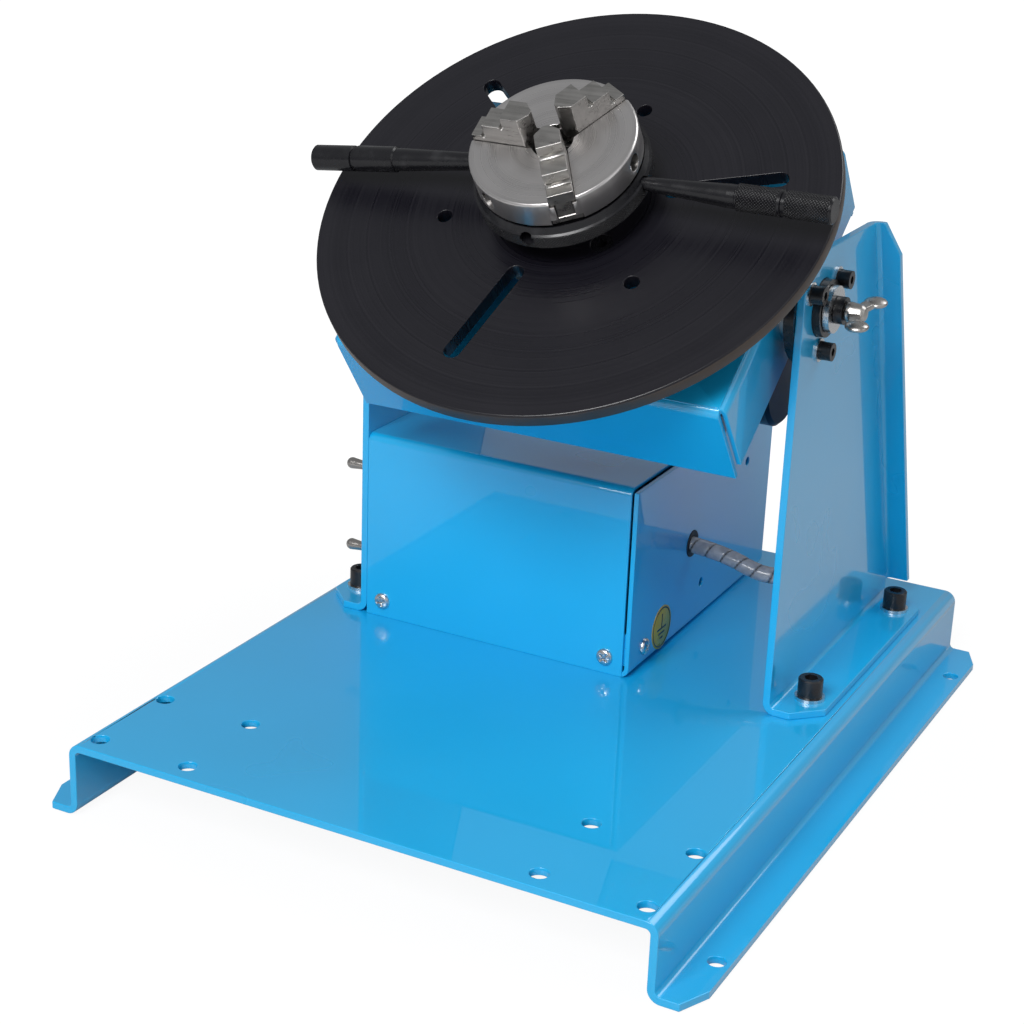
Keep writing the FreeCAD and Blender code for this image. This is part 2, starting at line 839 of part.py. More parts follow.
def bearing_housing():
    """Flanged housing under the tray with a bearing seat at each end."""
    flange = rod(housing_flange_r, (0, 0, tray_under - housing_flange_t), (0, 0, 1), housing_flange_t)
    body = rod(housing_body_r, (0, 0, housing_end), (0, 0, 1), housing_length)
    bore = rod(spindle_neck_r + 1, (0, 0, housing_end), (0, 0, 1), housing_length)
    whole = flange.fuse(body).cut(bore)
    for start in (housing_end, tray_under - bearing_width):
        whole = whole.cut(rod(bearing_outer_r, (0, 0, start), (0, 0, 1), bearing_width))
    for x, u in housing_screw_points():
        whole = whole.cut(rod(small_screw_r, (x, u, tray_under - housing_flange_t), (0, 0, 1), housing_flange_t))
    return whole


def spindle_bearings():
    """Outer races and ball rings of the two bearings, with a fit for the spindle."""
    parts = []
    for start in (housing_end, tray_under - bearing_width):
        bore = spindle_r + running_clearance
        ring = tube(bearing_outer_r, bore, (0, 0, start), (0, 0, 1), bearing_width)
        groove = tube(bearing_outer_r - bearing_race, bore + bearing_race, (0, 0, start), (0, 0, 1), 0.6)
        ring = ring.cut(groove)
        groove.translate(V(0, 0, bearing_width - 0.6))
        parts.append(ring.cut(groove))
    return group(parts)


def table_spindle():
    """Spindle with the flange that carries the disc, a shoulder and a brush journal."""
    shoulder = tray_under + side_gap
    flange = rod(hub_flange_r, (0, 0, hub_under), (0, 0, 1), hub_flange_t)
    neck = rod(spindle_neck_r, (0, 0, shoulder), (0, 0, 1), hub_under - shoulder)
    stem = rod(spindle_r, (0, 0, nut_under), (0, 0, 1), shoulder - nut_under)
    journal = rod(journal_r, (0, 0, spindle_end), (0, 0, 1), nut_under - spindle_end)
    whole = flange.fuse([neck, stem, journal])
    whole = whole.cut(rod(spindle_bore_r, (0, 0, spindle_end), (0, 0, 1), table_under - spindle_end))
    for x, u in ring_points(3, table_screw_circle, table_screw_angle):
        whole = whole.cut(rod(table_screw_r, (x, u, hub_under), (0, 0, 1), hub_flange_t))
    for x, u in ring_points(3, base_screw_r(), jaw_angle):
        whole = whole.cut(rod(small_screw_r, (x, u, hub_under), (0, 0, 1), hub_flange_t))
    return whole


def base_screw_r():
    """Circle of the screws from the spindle flange into the chuck base."""
    return chuck_base_r - 4.5


def ring_points(count, radius, first_deg):
    """Evenly spaced points on a circle."""
    points = []
    for step in range(count):
        angle = math.radians(first_deg + 360 * step / count)
        points.append((radius * math.cos(angle), radius * math.sin(angle)))
    return points


def turntable_disc():
    """Disc with three radial slots, three tapped holes and flush screw seats."""
    disc = rod(table_r, (0, 0, table_under), (0, 0, 1), table_t)
    disc = disc.makeChamfer(table_chamfer, [edge for edge in disc.Edges if edge.BoundBox.ZLength < 1e-6])
    disc = disc.cut(rod(table_bore_r, (0, 0, table_under), (0, 0, 1), table_t))
    low = table_under - 1
    tall = table_t + 2
    half = slot_width / 2
    for step in range(3):
        body = block((slot_inner_r + half, slot_outer_r - half), (-half, half), (low, low + tall))
        ends = [rod(half, (x, 0, low), (0, 0, 1), tall) for x in (slot_inner_r + half, slot_outer_r - half)]
        disc = disc.cut(turned(body.fuse(ends), slot_angle + 120 * step))
    for x, u in ring_points(3, tap_circle_r, tap_angle):
        disc = disc.cut(rod(tap_r, (x, u, low), (0, 0, 1), tall))
    for x, u in ring_points(3, table_screw_circle, table_screw_angle):
        disc = disc.cut(rod(table_screw_r, (x, u, low), (0, 0, 1), tall))
        seat = table_top - table_screw_head_h
        disc = disc.cut(rod(table_screw_head_r, (x, u, seat), (0, 0, 1), table_screw_head_h + 1))
    for x, u in ring_points(3, base_screw_r(), jaw_angle):
        disc = disc.cut(rod(small_screw_r, (x, u, low), (0, 0, 1), tall))
    return disc


def table_screws():
    """Flush socket screws from the disc into the spindle flange."""
    screws = []
    for x, u in ring_points(3, table_screw_circle, table_screw_angle):
        seat = table_top - table_screw_head_h
        head = rod(table_screw_head_r - 0.1, (x, u, seat), (0, 0, 1), table_screw_head_h - 0.2)
        shank = rod(table_screw_r, (x, u, hub_under), (0, 0, 1), seat - hub_under)
        key = hexagon(4.0, (x, u, table_top - 2.2), "z", 3)
        screws.append(head.fuse(shank).cut(key))
    return group(screws)


def gear_outline(teeth, backlash):
    """Wire of an involute spur gear about the origin."""
    pitch_r = gear_module * teeth / 2
    base_r = pitch_r * math.cos(math.radians(20))
    tip_r = pitch_r + gear_module
    root_r = pitch_r - 1.25 * gear_module
    start_r = max(base_r, root_r)

    def involute(radius):
        turn = math.sqrt(max((radius / base_r) ** 2 - 1, 0))
        return turn - math.atan(turn)

    half_tooth = math.pi / (2 * teeth) - backlash / (2 * pitch_r) + involute(pitch_r)

    def at(radius, angle):
        return V(radius * math.cos(angle), radius * math.sin(angle), 0)

    edges = []
    for tooth in range(teeth):
        middle = 2 * math.pi * tooth / teeth
        flank = [start_r, (start_r + tip_r) / 2, tip_r]
        rising = [at(radius, middle - half_tooth + involute(radius)) for radius in flank]
        falling = [at(radius, middle + half_tooth - involute(radius)) for radius in reversed(flank)]
        foot = at(root_r, middle - half_tooth)
        back = at(root_r, middle + half_tooth)
        following = at(root_r, middle + 2 * math.pi / teeth - half_tooth)
        valley = at(root_r, middle + math.pi / teeth)
        if start_r > root_r + 1e-6:
            edges.append(Part.LineSegment(foot, rising[0]).toShape())
        edges.append(Part.Arc(*rising).toShape())
        edges.append(Part.Arc(rising[-1], at(tip_r, middle), falling[0]).toShape())
        edges.append(Part.Arc(*falling).toShape())
        if start_r > root_r + 1e-6:
            edges.append(Part.LineSegment(falling[-1], back).toShape())
            edges.append(Part.Arc(back, valley, following).toShape())
        else:
            following = at(start_r, middle + 2 * math.pi / teeth - half_tooth + involute(start_r))
            edges.append(Part.Arc(falling[-1], at(start_r, middle + math.pi / teeth), following).toShape())
    return Part.Wire(edges)


def spur_gear(teeth, bore, low, width):
    """Spur gear with a plain bore."""
    face = Part.Face(gear_outline(teeth, gear_backlash))
    gear = face.extrude(V(0, 0, width))
    gear.translate(V(0, 0, low))
    return gear.cut(rod(bore, (0, 0, low), (0, 0, 1), width))


def driven_gear():
    """Gear on the spindle, with a boss up to the lower bearing."""
    gear = spur_gear(table_teeth, spindle_r, gear_under, gear_width)
    boss_h = gear_gap - side_gap
    boss = tube(spindle_neck_r, spindle_r, (0, 0, gear_top), (0, 0, 1), boss_h)
    gear = gear.fuse(boss)
    for x, u in ring_points(6, 18.0, 30):
        gear = gear.cut(rod(4.0, (x, u, gear_under), (0, 0, 1), gear_width))
    return gear


def drive_pinion():
    """Pinion with its shaft into the gearbox, set to mesh with the driven gear."""
    pinion = spur_gear(pinion_teeth, pinion_shaft_r, gear_under, gear_width)
    depth = gearbox_top - 10
    shaft = rod(pinion_shaft_r, (0, 0, depth), (0, 0, 1), gear_top - depth)
    whole = turned(pinion.fuse(shaft), 180 + 180 / pinion_teeth)
    whole.translate(V(pinion_x, 0, 0))
    return whole


def spindle_nut():
    """Nut that clamps the driven gear against the bearing."""
    nut = hexagon(2 * nut_r, (0, 0, nut_under), "z", nut_h)
    return nut.cut(rod(spindle_r, (0, 0, nut_under), (0, 0, 1), nut_h))


def gearbox():
    """Worm gearbox with a boss round its output shaft."""
    body = block(gearbox_x, gearbox_u, (gearbox_under, gearbox_top - 1))
    upright_edges = [edge for edge in body.Edges if edge.BoundBox.ZLength > 1]
    body = body.makeFillet(3.0, upright_edges)
    boss = rod(8.0, (pinion_x, 0, gearbox_top - 1), (0, 0, 1), 1)
    hole_low = gearbox_top - 10 - side_gap
    hole = rod(pinion_shaft_r + running_clearance, (pinion_x, 0, hole_low), (0, 0, 1), gearbox_top - hole_low)
    whole = body.fuse(boss).cut(hole)
    for x, v in gearbox_screw_points():
        whole = whole.cut(rod(small_screw_r, (x, gearbox_u[1] - 8, v), (0, 1, 0), 8))
    return whole


def gearbox_screw_points():
    """Screws from the bracket into the gearbox, as x and v."""
    return [(x, gearbox_top - drop) for x in (bracket_x[0] + 6, bracket_x[1] - 8) for drop in (7.0, 26.0)]


def motor():
    """Round motor on the gearbox, with an end cap and a cable boss."""
    start_x = gearbox_x[1]
    can = rod(motor_r, (start_x, motor_u, motor_v), (1, 0, 0), motor_length)
    rim = [edge for edge in can.Edges if edge.BoundBox.XLength < 1e-6 and edge.BoundBox.XMin > start_x + 1]
    can = can.makeChamfer(1.5, rim)
    end = motor_boss_point(motor_boss_reach)
    boss = rod(motor_boss_r, (end[0], motor_u, motor_v), (0, end[1] - motor_u, end[2] - motor_v), motor_boss_reach)
    return can.fuse(boss)


def motor_boss_point(reach):
    """Point on the axis of the cable boss, which looks straight back when the table is at rest."""
    angle = math.radians(tilt_rest_deg)
    x = gearbox_x[1] + motor_length - motor_boss_end_gap
    return (x, motor_u + reach * math.cos(angle), motor_v - reach * math.sin(angle))


def motor_bracket():
    """Angle bracket that hangs the gearbox from the tray."""
    inner = gearbox_u[1]
    path = [
        (inner + bracket_t, gearbox_under),
        (inner + bracket_t, tray_under - bracket_t),
        (inner + bracket_t + bracket_foot, tray_under - bracket_t),
    ]
    low = left_offset(path, bracket_t)
    sheet_path = [low[0], low[1], low[2]]
    bracket = folded(
        sheet_path, bracket_t, lambda a, b: (bracket_x[0], a, b), (bracket_x[1] - bracket_x[0], 0, 0)
    )
    for x, u in bracket_screw_points():
        bracket = bracket.cut(rod(small_screw_r, (x, u, tray_under - bracket_t), (0, 0, 1), bracket_t))
    for x, v in gearbox_screw_points():
        bracket = bracket.cut(rod(small_screw_r, (x, inner, v), (0, 1, 0), bracket_t))
    return bracket


def bracket_screws():
    """Screws of the motor bracket, into the tray and into the gearbox."""
    screws = [tray_screw(x, u) for x, u in bracket_screw_points() + brush_screw_points()]
    face = gearbox_u[1] + bracket_t
    for x, v in gearbox_screw_points():
        head = rod(small_head_r, (x, face, v), (0, 1, 0), small_head_h)
        shank = rod(small_screw_r, (x, face - bracket_t - 6, v), (0, 1, 0), bracket_t + 6)
        screws.append(head.fuse(shank))
    return group(screws)


def brush_level():
    """Middle of the earth brush along the spindle."""
    return (nut_under + spindle_end) / 2


def brush_holder():
    """Bent strip from the tray down to a sleeve for the earth brush."""
    low = brush_level() - brush_sleeve_h / 2
    x_leg = brush_x[0]
    path = [
        (x_leg, low),
        (x_leg, tray_under),
        (x_leg - 17, tray_under),
    ]
    path = list(reversed(path))
    strip = folded(path, frame_sheet, lambda a, b: (a, -brush_half_u, b), (0, 2 * brush_half_u, 0))
    sleeve_end = -journal_r - 6
    sleeve = block((x_leg - 1, sleeve_end), (-brush_half_u, brush_half_u), (low, low + brush_sleeve_h))
    half = brush_side / 2 + running_clearance
    middle = brush_level()
    channel = block((x_leg, sleeve_end), (-half, half), (middle - half, middle + half))
    whole = strip.fuse(sleeve).cut(channel)
    for x, u in brush_screw_points():
        whole = whole.cut(rod(small_screw_r, (x, u, tray_under - frame_sheet), (0, 0, 1), frame_sheet))
    return whole


def brush():
    """Carbon earth brush against the spindle journal."""
    half = brush_side / 2
    middle = brush_level()
    tip = -journal_r + 2
    body = block((brush_x[0] + brush_drop, tip), (-half, half), (middle - half, middle + half))
    return body.cut(rod(journal_r + side_gap, (0, 0, middle - 5), (0, 0, 1), 10))


def brush_spring():
    """Compression spring behind the brush, as a closed-up stack of rings."""
    middle = brush_level()
    turns = [tube(2.2, 1.5, (brush_x[0] + 2 * step, 0, middle), (1, 0, 0), 1.0) for step in range(4)]
    seat = rod(1.5, (brush_x[0], 0, middle), (1, 0, 0), brush_drop)
    return seat.fuse(turns)


def drive_nodes():
    """Tray, spindle, gears, motor and earth brush."""
    save("tilt_housing", tilted(tilt_housing()))
    save("bearing_housing", tilted(bearing_housing()))
    save("spindle_bearings", tilted(spindle_bearings()))
    save("housing_screws", tilted(group([tray_screw(x, u) for x, u in housing_screw_points()])))
    save("table_spindle", tilted(table_spindle()))
    save("turntable_disc", tilted(turntable_disc()))
    save("table_screws", tilted(table_screws()))
    save("driven_gear", tilted(driven_gear()))
    save("drive_pinion", tilted(drive_pinion()))
    save("spindle_nut", tilted(spindle_nut()))
    save("gearbox", tilted(gearbox()))
    save("motor", tilted(motor()))
    save("motor_bracket", tilted(motor_bracket()))
    save("bracket_screws", tilted(bracket_screws()))
    save("brush_holder", tilted(brush_holder()))
    save("brush", tilted(brush()))
    save("brush_spring", tilted(brush_spring()))


# ---------------------------------------------------------------- chuck
def chuck_base():
    """Round foot that seats the chuck on the disc, with two rows of screw holes."""
    base = rod(chuck_base_r, (0, 0, table_top), (0, 0, 1), chuck_base_h)
    base = base.cut(rod(chuck_bore_r, (0, 0, table_top), (0, 0, 1), chuck_base_h))
    for x, u in ring_points(3, base_screw_r(), jaw_angle):
        base = base.cut(rod(small_screw_r, (x, u, table_top), (0, 0, 1), chuck_base_h - 1))
    for x, u in ring_points(3, hub_screw_r(), 0):
        base = base.cut(rod(hub_screw_size(), (x, u, table_top), (0, 0, 1), chuck_base_h))
        base = base.cut(rod(hub_screw_size() + 1.2, (x, u, table_top), (0, 0, 1), 4.0))
    return base


def hub_screw_r():
    """Circle of the screws from the chuck base into the body hub."""
    return (hub_r + chuck_bore_r) / 2


def hub_screw_size():
    """Radius of the screws into the body hub."""
    return (hub_r - chuck_bore_r) / 4


def chuck_body():
    """Chuck body with its hub, three T-slots for the jaws and three side holes."""
    disc = rod(body_r, (0, 0, body_under), (0, 0, 1), body_t)
    rims = [edge for edge in disc.Edges if edge.BoundBox.ZLength < 1e-6]
    disc = disc.makeChamfer(0.7, rims)
    hub = rod(hub_r, (0, 0, chuck_base_top), (0, 0, 1), hub_h)
    body = disc.fuse(hub)
    body = body.cut(rod(chuck_bore_r, (0, 0, chuck_base_top), (0, 0, 1), hub_h + body_t))
    reach = body_r + 1
    foot_half = jaw_foot / 2 + jaw_side_fit
    neck_half = jaw_neck / 2 + jaw_side_fit
    top_half = jaw_width / 2 + jaw_side_fit
    foot_top_v = jaw_under + jaw_foot_t + jaw_side_fit
    slot = block((0, reach), (-foot_half, foot_half), (body_under, foot_top_v))
    slot = slot.fuse(block((0, reach), (-neck_half, neck_half), (foot_top_v, body_top)))
    slot = slot.fuse(block((0, reach), (-top_half, top_half), (body_top - slot_top_depth, body_top + 1)))
    for step in range(jaw_count):
        body = body.cut(turned(slot, jaw_angle + 360 * step / jaw_count))
        hole = rod(body_hole_r, (hub_r, 0, body_under + body_t / 2), (1, 0, 0), body_r)
        body = body.cut(turned(hole, jaw_angle + 180 + 360 * step / jaw_count))
    for x, u in ring_points(3, hub_screw_r(), 0):
        body = body.cut(rod(hub_screw_size(), (x, u, chuck_base_top), (0, 0, 1), hub_h - 2))
    return body


def chuck_screws():
    """Screws into the chuck base from below, and from it into the body hub."""
    screws = []
    for x, u in ring_points(3, base_screw_r(), jaw_angle):
        head = rod(small_head_r, (x, u, hub_under - small_head_h), (0, 0, 1), small_head_h)
        shank = rod(small_screw_r, (x, u, hub_under), (0, 0, 1), chuck_base_top - 1 - hub_under)
        screws.append(head.fuse(shank))
    for x, u in ring_points(3, hub_screw_r(), 0):
        head = rod(hub_screw_size() + 1, (x, u, table_top + 1.2), (0, 0, 1), 2.8)
        tip = chuck_base_top + hub_h - 2
        shank = rod(hub_screw_size(), (x, u, table_top + 4), (0, 0, 1), tip - table_top - 4)
        screws.append(head.fuse(shank))
    return group(screws)


def spiral_edges(shift, first_deg, last_deg):
    """Arcs along the scroll's spiral, moved out by a distance."""
    steps = int((last_deg - first_deg) / 30)

    def at(degrees):
        radius = scroll_first_r + scroll_lead * degrees / 360 + shift
        angle = math.radians(degrees)
        return V(radius * math.cos(angle), radius * math.sin(angle), scroll_floor_v - 0.5)

    edges = []
    for step in range(steps):
        start = first_deg + (last_deg - first_deg) * step / steps
        end = first_deg + (last_deg - first_deg) * (step + 1) / steps
        edges.append(Part.Arc(at(start), at((start + end) / 2), at(end)).toShape())
    return edges, at(first_deg), at(last_deg)


def scroll_thread():
    """Spiral wall on top of the scroll ring."""
    turns_deg = 360 * (scroll_last_r - scroll_first_r - scroll_wall / 2) / scroll_lead
    inner, inner_start, inner_end = spiral_edges(-scroll_wall / 2, 0, turns_deg)
    outer, outer_start, outer_end = spiral_edges(scroll_wall / 2, 0, turns_deg)
    ends = [
        Part.LineSegment(inner_start, outer_start).toShape(),
        Part.LineSegment(inner_end, outer_end).toShape(),
    ]
    wire = Part.Wire(Part.__sortEdges__(inner + outer + ends))
    return Part.Face(wire).extrude(V(0, 0, scroll_top - scroll_floor_v + 0.5))


def scroll_ring():
    """Lever-turned ring with the spiral thread that drives the jaws."""
    profile = [
        (hub_r + running_clearance, scroll_under),
        (scroll_r - 0.5, scroll_under),
        (scroll_r, scroll_under + 0.5),
        (scroll_r, scroll_under + scroll_band),
        (scroll_r - 0.9, scroll_under + scroll_band + 0.4),
        (scroll_shoulder_r, scroll_top),
        (scroll_last_r + 0.3, scroll_top),
        (scroll_last_r + 0.3, scroll_floor_v),
        (hub_r + running_clearance, scroll_floor_v),
    ]
    ring = revolved(profile, (0, 0, 0), (0, 0, 1))
    ring = ring.fuse(scroll_thread())
    for step in range(4):
        start = (scroll_r - lever_hole_depth, 0, lever_v)
        hole = rod(lever_hole_r, start, (1, 0, 0), lever_hole_depth + 2)
        ring = ring.cut(turned(hole, 90 * step))
    return ring


def lever_bar(tip_to_handle, handle_end, neck_r):
    """One tommy bar, laid along X from its tip in the ring."""
    tip_start = scroll_r - lever_hole_depth + 0.4
    groove = (tip_to_handle + handle_end) / 2
    profile = [
        (0, tip_start),
        (lever_tip_r, tip_start),
        (lever_tip_r, scroll_r + 0.2),
        (neck_r, scroll_r + 0.4),
        (neck_r + 0.3, scroll_r + 6),
        (lever_handle_r - 0.6, tip_to_handle - 3),
        (lever_handle_r - 0.6, tip_to_handle),
        (lever_handle_r, tip_to_handle + 0.5),
        (lever_handle_r, groove - 0.9),
        (lever_handle_r - 0.6, groove - 0.6),
        (lever_handle_r - 0.6, groove + 0.6),
        (lever_handle_r, groove + 0.9),
        (lever_handle_r, handle_end - 0.6),
        (lever_handle_r - 0.6, handle_end),
        (0, handle_end),
    ]
    return revolved(profile, (0, 0, lever_v), (1, 0, 0))


def lever_bars():
    """Right bar straight in its hole, left bar drooping in its loose hole."""
    right = lever_bar(*right_bar)
    left = turned(lever_bar(*left_bar), 180)
    centre = (-(scroll_r - lever_hole_depth / 2), 0, lever_v)
    left = turned(left, -lever_droop_deg * 0.7, centre, (0, 1, 0))
    left = turned(left, lever_droop_deg * 0.7, centre, (0, 0, 1))
    return group([right, left])


def jaw(index):
    """One stepped jaw on its slide, with teeth in the scroll."""
    half = jaw_width / 2
    foot_top_v = jaw_under + jaw_foot_t
    seat = body_top - slot_top_depth + jaw_side_fit
    rises = (body_top + 2.7, body_top + 8.1, body_top + 13.1)
    steps = ((9.0, 16.2), (16.2, 25.2), (25.2, 30.8))
    upper = None
    for (inner, outer), top in zip(steps, reversed(rises)):
        piece = block((inner, outer), (-half, half), (seat, top))
        upper = piece if upper is None else upper.fuse(piece)
    tip = [(9.0, -half, seat), (5.6, -1.1, seat), (5.6, 1.1, seat), (9.0, half, seat)]
    upper = upper.fuse(prism(tip, (0, 0, rises[2] - seat)))
    for radius, top in ((16.2, rises[1]), (25.2, rises[0])):
        groove = rod(1.1, (radius + 0.5, -half - 1, top), (0, 1, 0), jaw_width + 2)
        upper = upper.cut(groove)
    neck = block((9.0, 30.4), (-jaw_neck / 2, jaw_neck / 2), (foot_top_v - 0.1, seat + 0.1))
    foot = block((9.0, 30.8), (-jaw_foot / 2, jaw_foot / 2), (jaw_under, foot_top_v))
    whole = upper.fuse([neck, foot])
    width_keep = block((5, 31), (-jaw_foot / 2, jaw_foot / 2), (scroll_floor_v + scroll_gap, body_top + 20))
    for row in range(tooth_rows):
        radius = tooth_radius(index) + scroll_lead * row
        low = scroll_floor_v + scroll_gap
        tooth = tube(radius + tooth_t / 2, radius - tooth_t / 2, (0, 0, low), (0, 0, 1), jaw_under - low + 0.2)
        whole = whole.fuse(tooth.common(width_keep))
    return turned(whole, jaw_angle + 360 * index / jaw_count)


def tooth_radius(index):
    """Innermost tooth of a jaw, midway between two turns of the spiral."""
    angle = jaw_angle + 360 * index / jaw_count
    radius = scroll_first_r + scroll_lead * (angle / 360 + 0.5)
    while radius < tooth_first_r:
        radius += scroll_lead
    while radius >= tooth_first_r + scroll_lead:
        radius -= scroll_lead
    return radius


def chuck_nodes():
    """Chuck base, body, scroll ring, jaws and bars."""
    save("chuck_base", tilted(chuck_base()))
    save("chuck_body", tilted(chuck_body()))
    save("chuck_screws", tilted(chuck_screws()))
    save("scroll_ring", tilted(scroll_ring()))
    save("lever_bars", tilted(lever_bars()))
    for index in range(jaw_count):
        save("jaw_" + str(index + 1), tilted(jaw(index)))


# ---------------------------------------------------------------- control box
def box_cover():
    """Folded cover: front, top and rear in one sheet."""
    top = base_height + box_rise
    path = [(0, base_height), (0, top), (box_depth, top), (box_depth, base_height)]
    left_x = -upright_inner_x
    width = box_right_x - side_plate_t - cover_gap - left_x
    cover = folded(path, box_sheet, lambda a, b: (left_x, a, b), (width, 0, 0))
    for x in cover_screw_x:
        start = (x, -1, base_height + cover_screw_rise)
        cover = cover.cut(rod(cover_screw_r + 0.1, start, (0, 1, 0), box_depth + 2))
    return cover


def side_plate():
    """Right-hand plate of the box, with an inward foot and two screw tabs."""
    outer = box_right_x
    top = base_height + side_plate_rise
    path = [(outer, top), (outer, base_height), (outer - 14, base_height)]
    plate = folded(path, side_plate_t, lambda a, b: (a, 0, b), (0, box_depth, 0))
    inner = outer - side_plate_t
    for y in ((-1, box_sheet + cover_gap), (box_depth - box_sheet - cover_gap, box_depth + 1)):
        notch = block((outer - 20, inner - cover_gap), y, (base_height - 1, base_height + 10))
        plate = plate.cut(notch)
    low = base_height + side_plate_t + bend_inside + 0.5
    for y in (box_sheet, box_depth - box_sheet - side_plate_t):
        tab = block((inner - clip_length, inner + 0.5), (y, y + side_plate_t), (low, low + clip_height))
        plate = plate.fuse(tab)
    start_y = -1
    hole = (cover_screw_x[1], start_y, base_height + cover_screw_rise)
    plate = plate.cut(rod(cover_screw_r, hole, (0, 1, 0), box_depth + 2))
    cable_hole = (inner - 1, cable_y, base_height + cable_rise)
    plate = plate.cut(rod(cable_r + grommet_wall, cable_hole, (1, 0, 0), side_plate_t + 2))
    for y, rise in side_holes:
        plate = plate.cut(rod(side_hole_r, (inner - 1, y, base_height + rise), (1, 0, 0), side_plate_t + 2))
    earth = (inner - 1, earth_y, base_height + earth_rise)
    return plate.cut(rod(cover_screw_r, earth, (1, 0, 0), side_plate_t + 2)).removeSplitter()


def cover_clip():
    """Left-hand clips on the base that take the cover screws."""
    clips = []
    x = (-upright_inner_x, -upright_inner_x + clip_length)
    for y, back in ((box_sheet, 1), (box_depth - box_sheet, -1)):
        plate = block(x, sorted((y, y + back * side_plate_t)), (base_height, base_height + clip_height))
        foot = block(x, sorted((y, y + back * 12)), (base_height, base_height + side_plate_t))
        clip = plate.fuse(foot).removeSplitter()
        start = (cover_screw_x[0], 0, base_height + cover_screw_rise)
        clips.append(clip.cut(rod(cover_screw_r, start, (0, 1, 0), box_depth)))
    return group(clips)


def cover_screws():
    """Pan-head screws in the front and rear of the cover."""
    screws = []
    for x in cover_screw_x:
        for face, out in ((0, -1), (box_depth, 1)):
            centre = (x, face, base_height + cover_screw_rise)
            screws.append(pan_screw(centre, (0, out, 0), box_sheet + side_plate_t + 2))
    return group(screws)


def pan_screw(centre, out, shank_length):
    """Pan-head screw whose head stands out from a face."""
    head = rod(cover_screw_head_r, centre, out, cover_screw_head_h)
    far = V(*centre) + V(*out) * cover_screw_head_h
    rim = [edge for edge in head.Edges if edge.Closed and edge.CenterOfMass.distanceToPoint(far) < 1e-6]
    head = head.makeChamfer(cover_screw_head_h * 0.5, rim)
    back = tuple(-part for part in out)
    return head.fuse(rod(cover_screw_r, centre, back, shank_length))


def toggle_body(rise):
    """Toggle switch behind the panel with its bush through it."""
    z = base_height + rise
    depth = (-upright_inner_x, -upright_inner_x + toggle_body_depth)
    case = block(depth, (toggle_y - 6.5, toggle_y + 6.5), (z - 4.0, z + 4.0))
    start = (-upright_outer_x - toggle_bush_reach, toggle_y, z)
    bush = rod(toggle_bush_r, start, (1, 0, 0), toggle_bush_reach + frame_sheet)
    whole = case.fuse(bush)
    return whole.cut(rod(toggle_bush_r - 0.6, start, (1, 0, 0), toggle_bush_reach))


def toggle_nut(rise):
    """Hexagon nut on a toggle bush."""
    centre = (-upright_outer_x - 2.2, toggle_y, base_height + rise)
    nut = hexagon(8.0, centre, "x", 2.2)
    return nut.cut(rod(toggle_bush_r, centre, (1, 0, 0), 2.2))


def bat_lever(rise):
    """Bat-shaped toggle lever, turned in one piece with its pivot ball in the bush."""
    ball_r = toggle_bush_r - 0.9
    tip_at = lever_reach - lever_tip_round
    profile = [(0, -ball_r)]
    profile += [arc_point(ball_r, degrees, 0) for degrees in range(-75, 60, 15)]
    profile.append((lever_neck_r, ball_r))
    profile.append((lever_neck_r, lever_neck_end))
    profile += [arc_point(lever_tip_round, degrees, tip_at) for degrees in range(0, 90, 15)]
    profile.append((0, lever_reach))
    pivot = (-upright_outer_x - toggle_bush_reach + 3, toggle_y, base_height + rise)
    return revolved(profile, pivot, (-1, 0, 0))


def arc_point(radius, degrees, height):
    """Point of a turned profile on an arc about the axis."""
    angle = math.radians(degrees)
    return (radius * math.cos(angle), height + radius * math.sin(angle))


def speed_potentiometer():
    """Potentiometer behind the panel with its nut in front."""
    z = base_height + knob_rise
    bush_radius = toggle_bush_r + 0.5
    case = rod(8.0, (-upright_inner_x, knob_y, z), (1, 0, 0), 10)
    start = (-upright_outer_x - 6, knob_y, z)
    bush = rod(bush_radius, start, (1, 0, 0), 6 + frame_sheet)
    nut = hexagon(10.0, (-upright_outer_x - 2.5, knob_y, z), "x", 2.5)
    return case.fuse([bush, nut]).cut(rod(2.0, start, (1, 0, 0), 8))


def speed_knob():
    """Fluted knob with its spindle in the potentiometer."""
    z = base_height + knob_rise
    start_x = -upright_outer_x - 6.5
    knob = rod(knob_r, (start_x - knob_length, knob_y, z), (1, 0, 0), knob_length)
    rim = [edge for edge in knob.Edges if edge.BoundBox.XLength < 1e-6 and edge.BoundBox.XMin < start_x - 5]
    knob = knob.makeChamfer(0.8, rim)
    for step in range(12):
        angle = math.radians(30 * step)
        y = knob_y + (knob_r + 0.7) * math.cos(angle)
        groove = rod(1.3, (start_x - knob_length - 1, y, z + (knob_r + 0.7) * math.sin(angle)), (1, 0, 0), 9)
        knob = knob.cut(groove)
    spindle = rod(2.0 - running_clearance, (start_x, knob_y, z), (1, 0, 0), 8)
    return knob.fuse(spindle)


def round_socket(y, rise, pins):
    """Round panel connector with a threaded nose and pin holes."""
    z = base_height + rise
    out_x = -upright_outer_x
    flange = rod(socket_r + 2.0, (out_x - 2.0, y, z), (1, 0, 0), 2.0)
    nose = rod(socket_r - 0.5, (out_x - 9.0, y, z), (1, 0, 0), 8.0)
    barrel = rod(socket_r, (out_x, y, z), (1, 0, 0), 14.0)
    whole = flange.fuse([nose, barrel])
    whole = whole.cut(rod(socket_r - 1.5, (out_x - 10.0, y, z), (1, 0, 0), 6.0))
    for a, b in ring_points(pins, 2.6, 90):
        whole = whole.fuse(rod(0.6, (out_x - 8.0, y + a, z + b), (1, 0, 0), 5.0))
    return whole


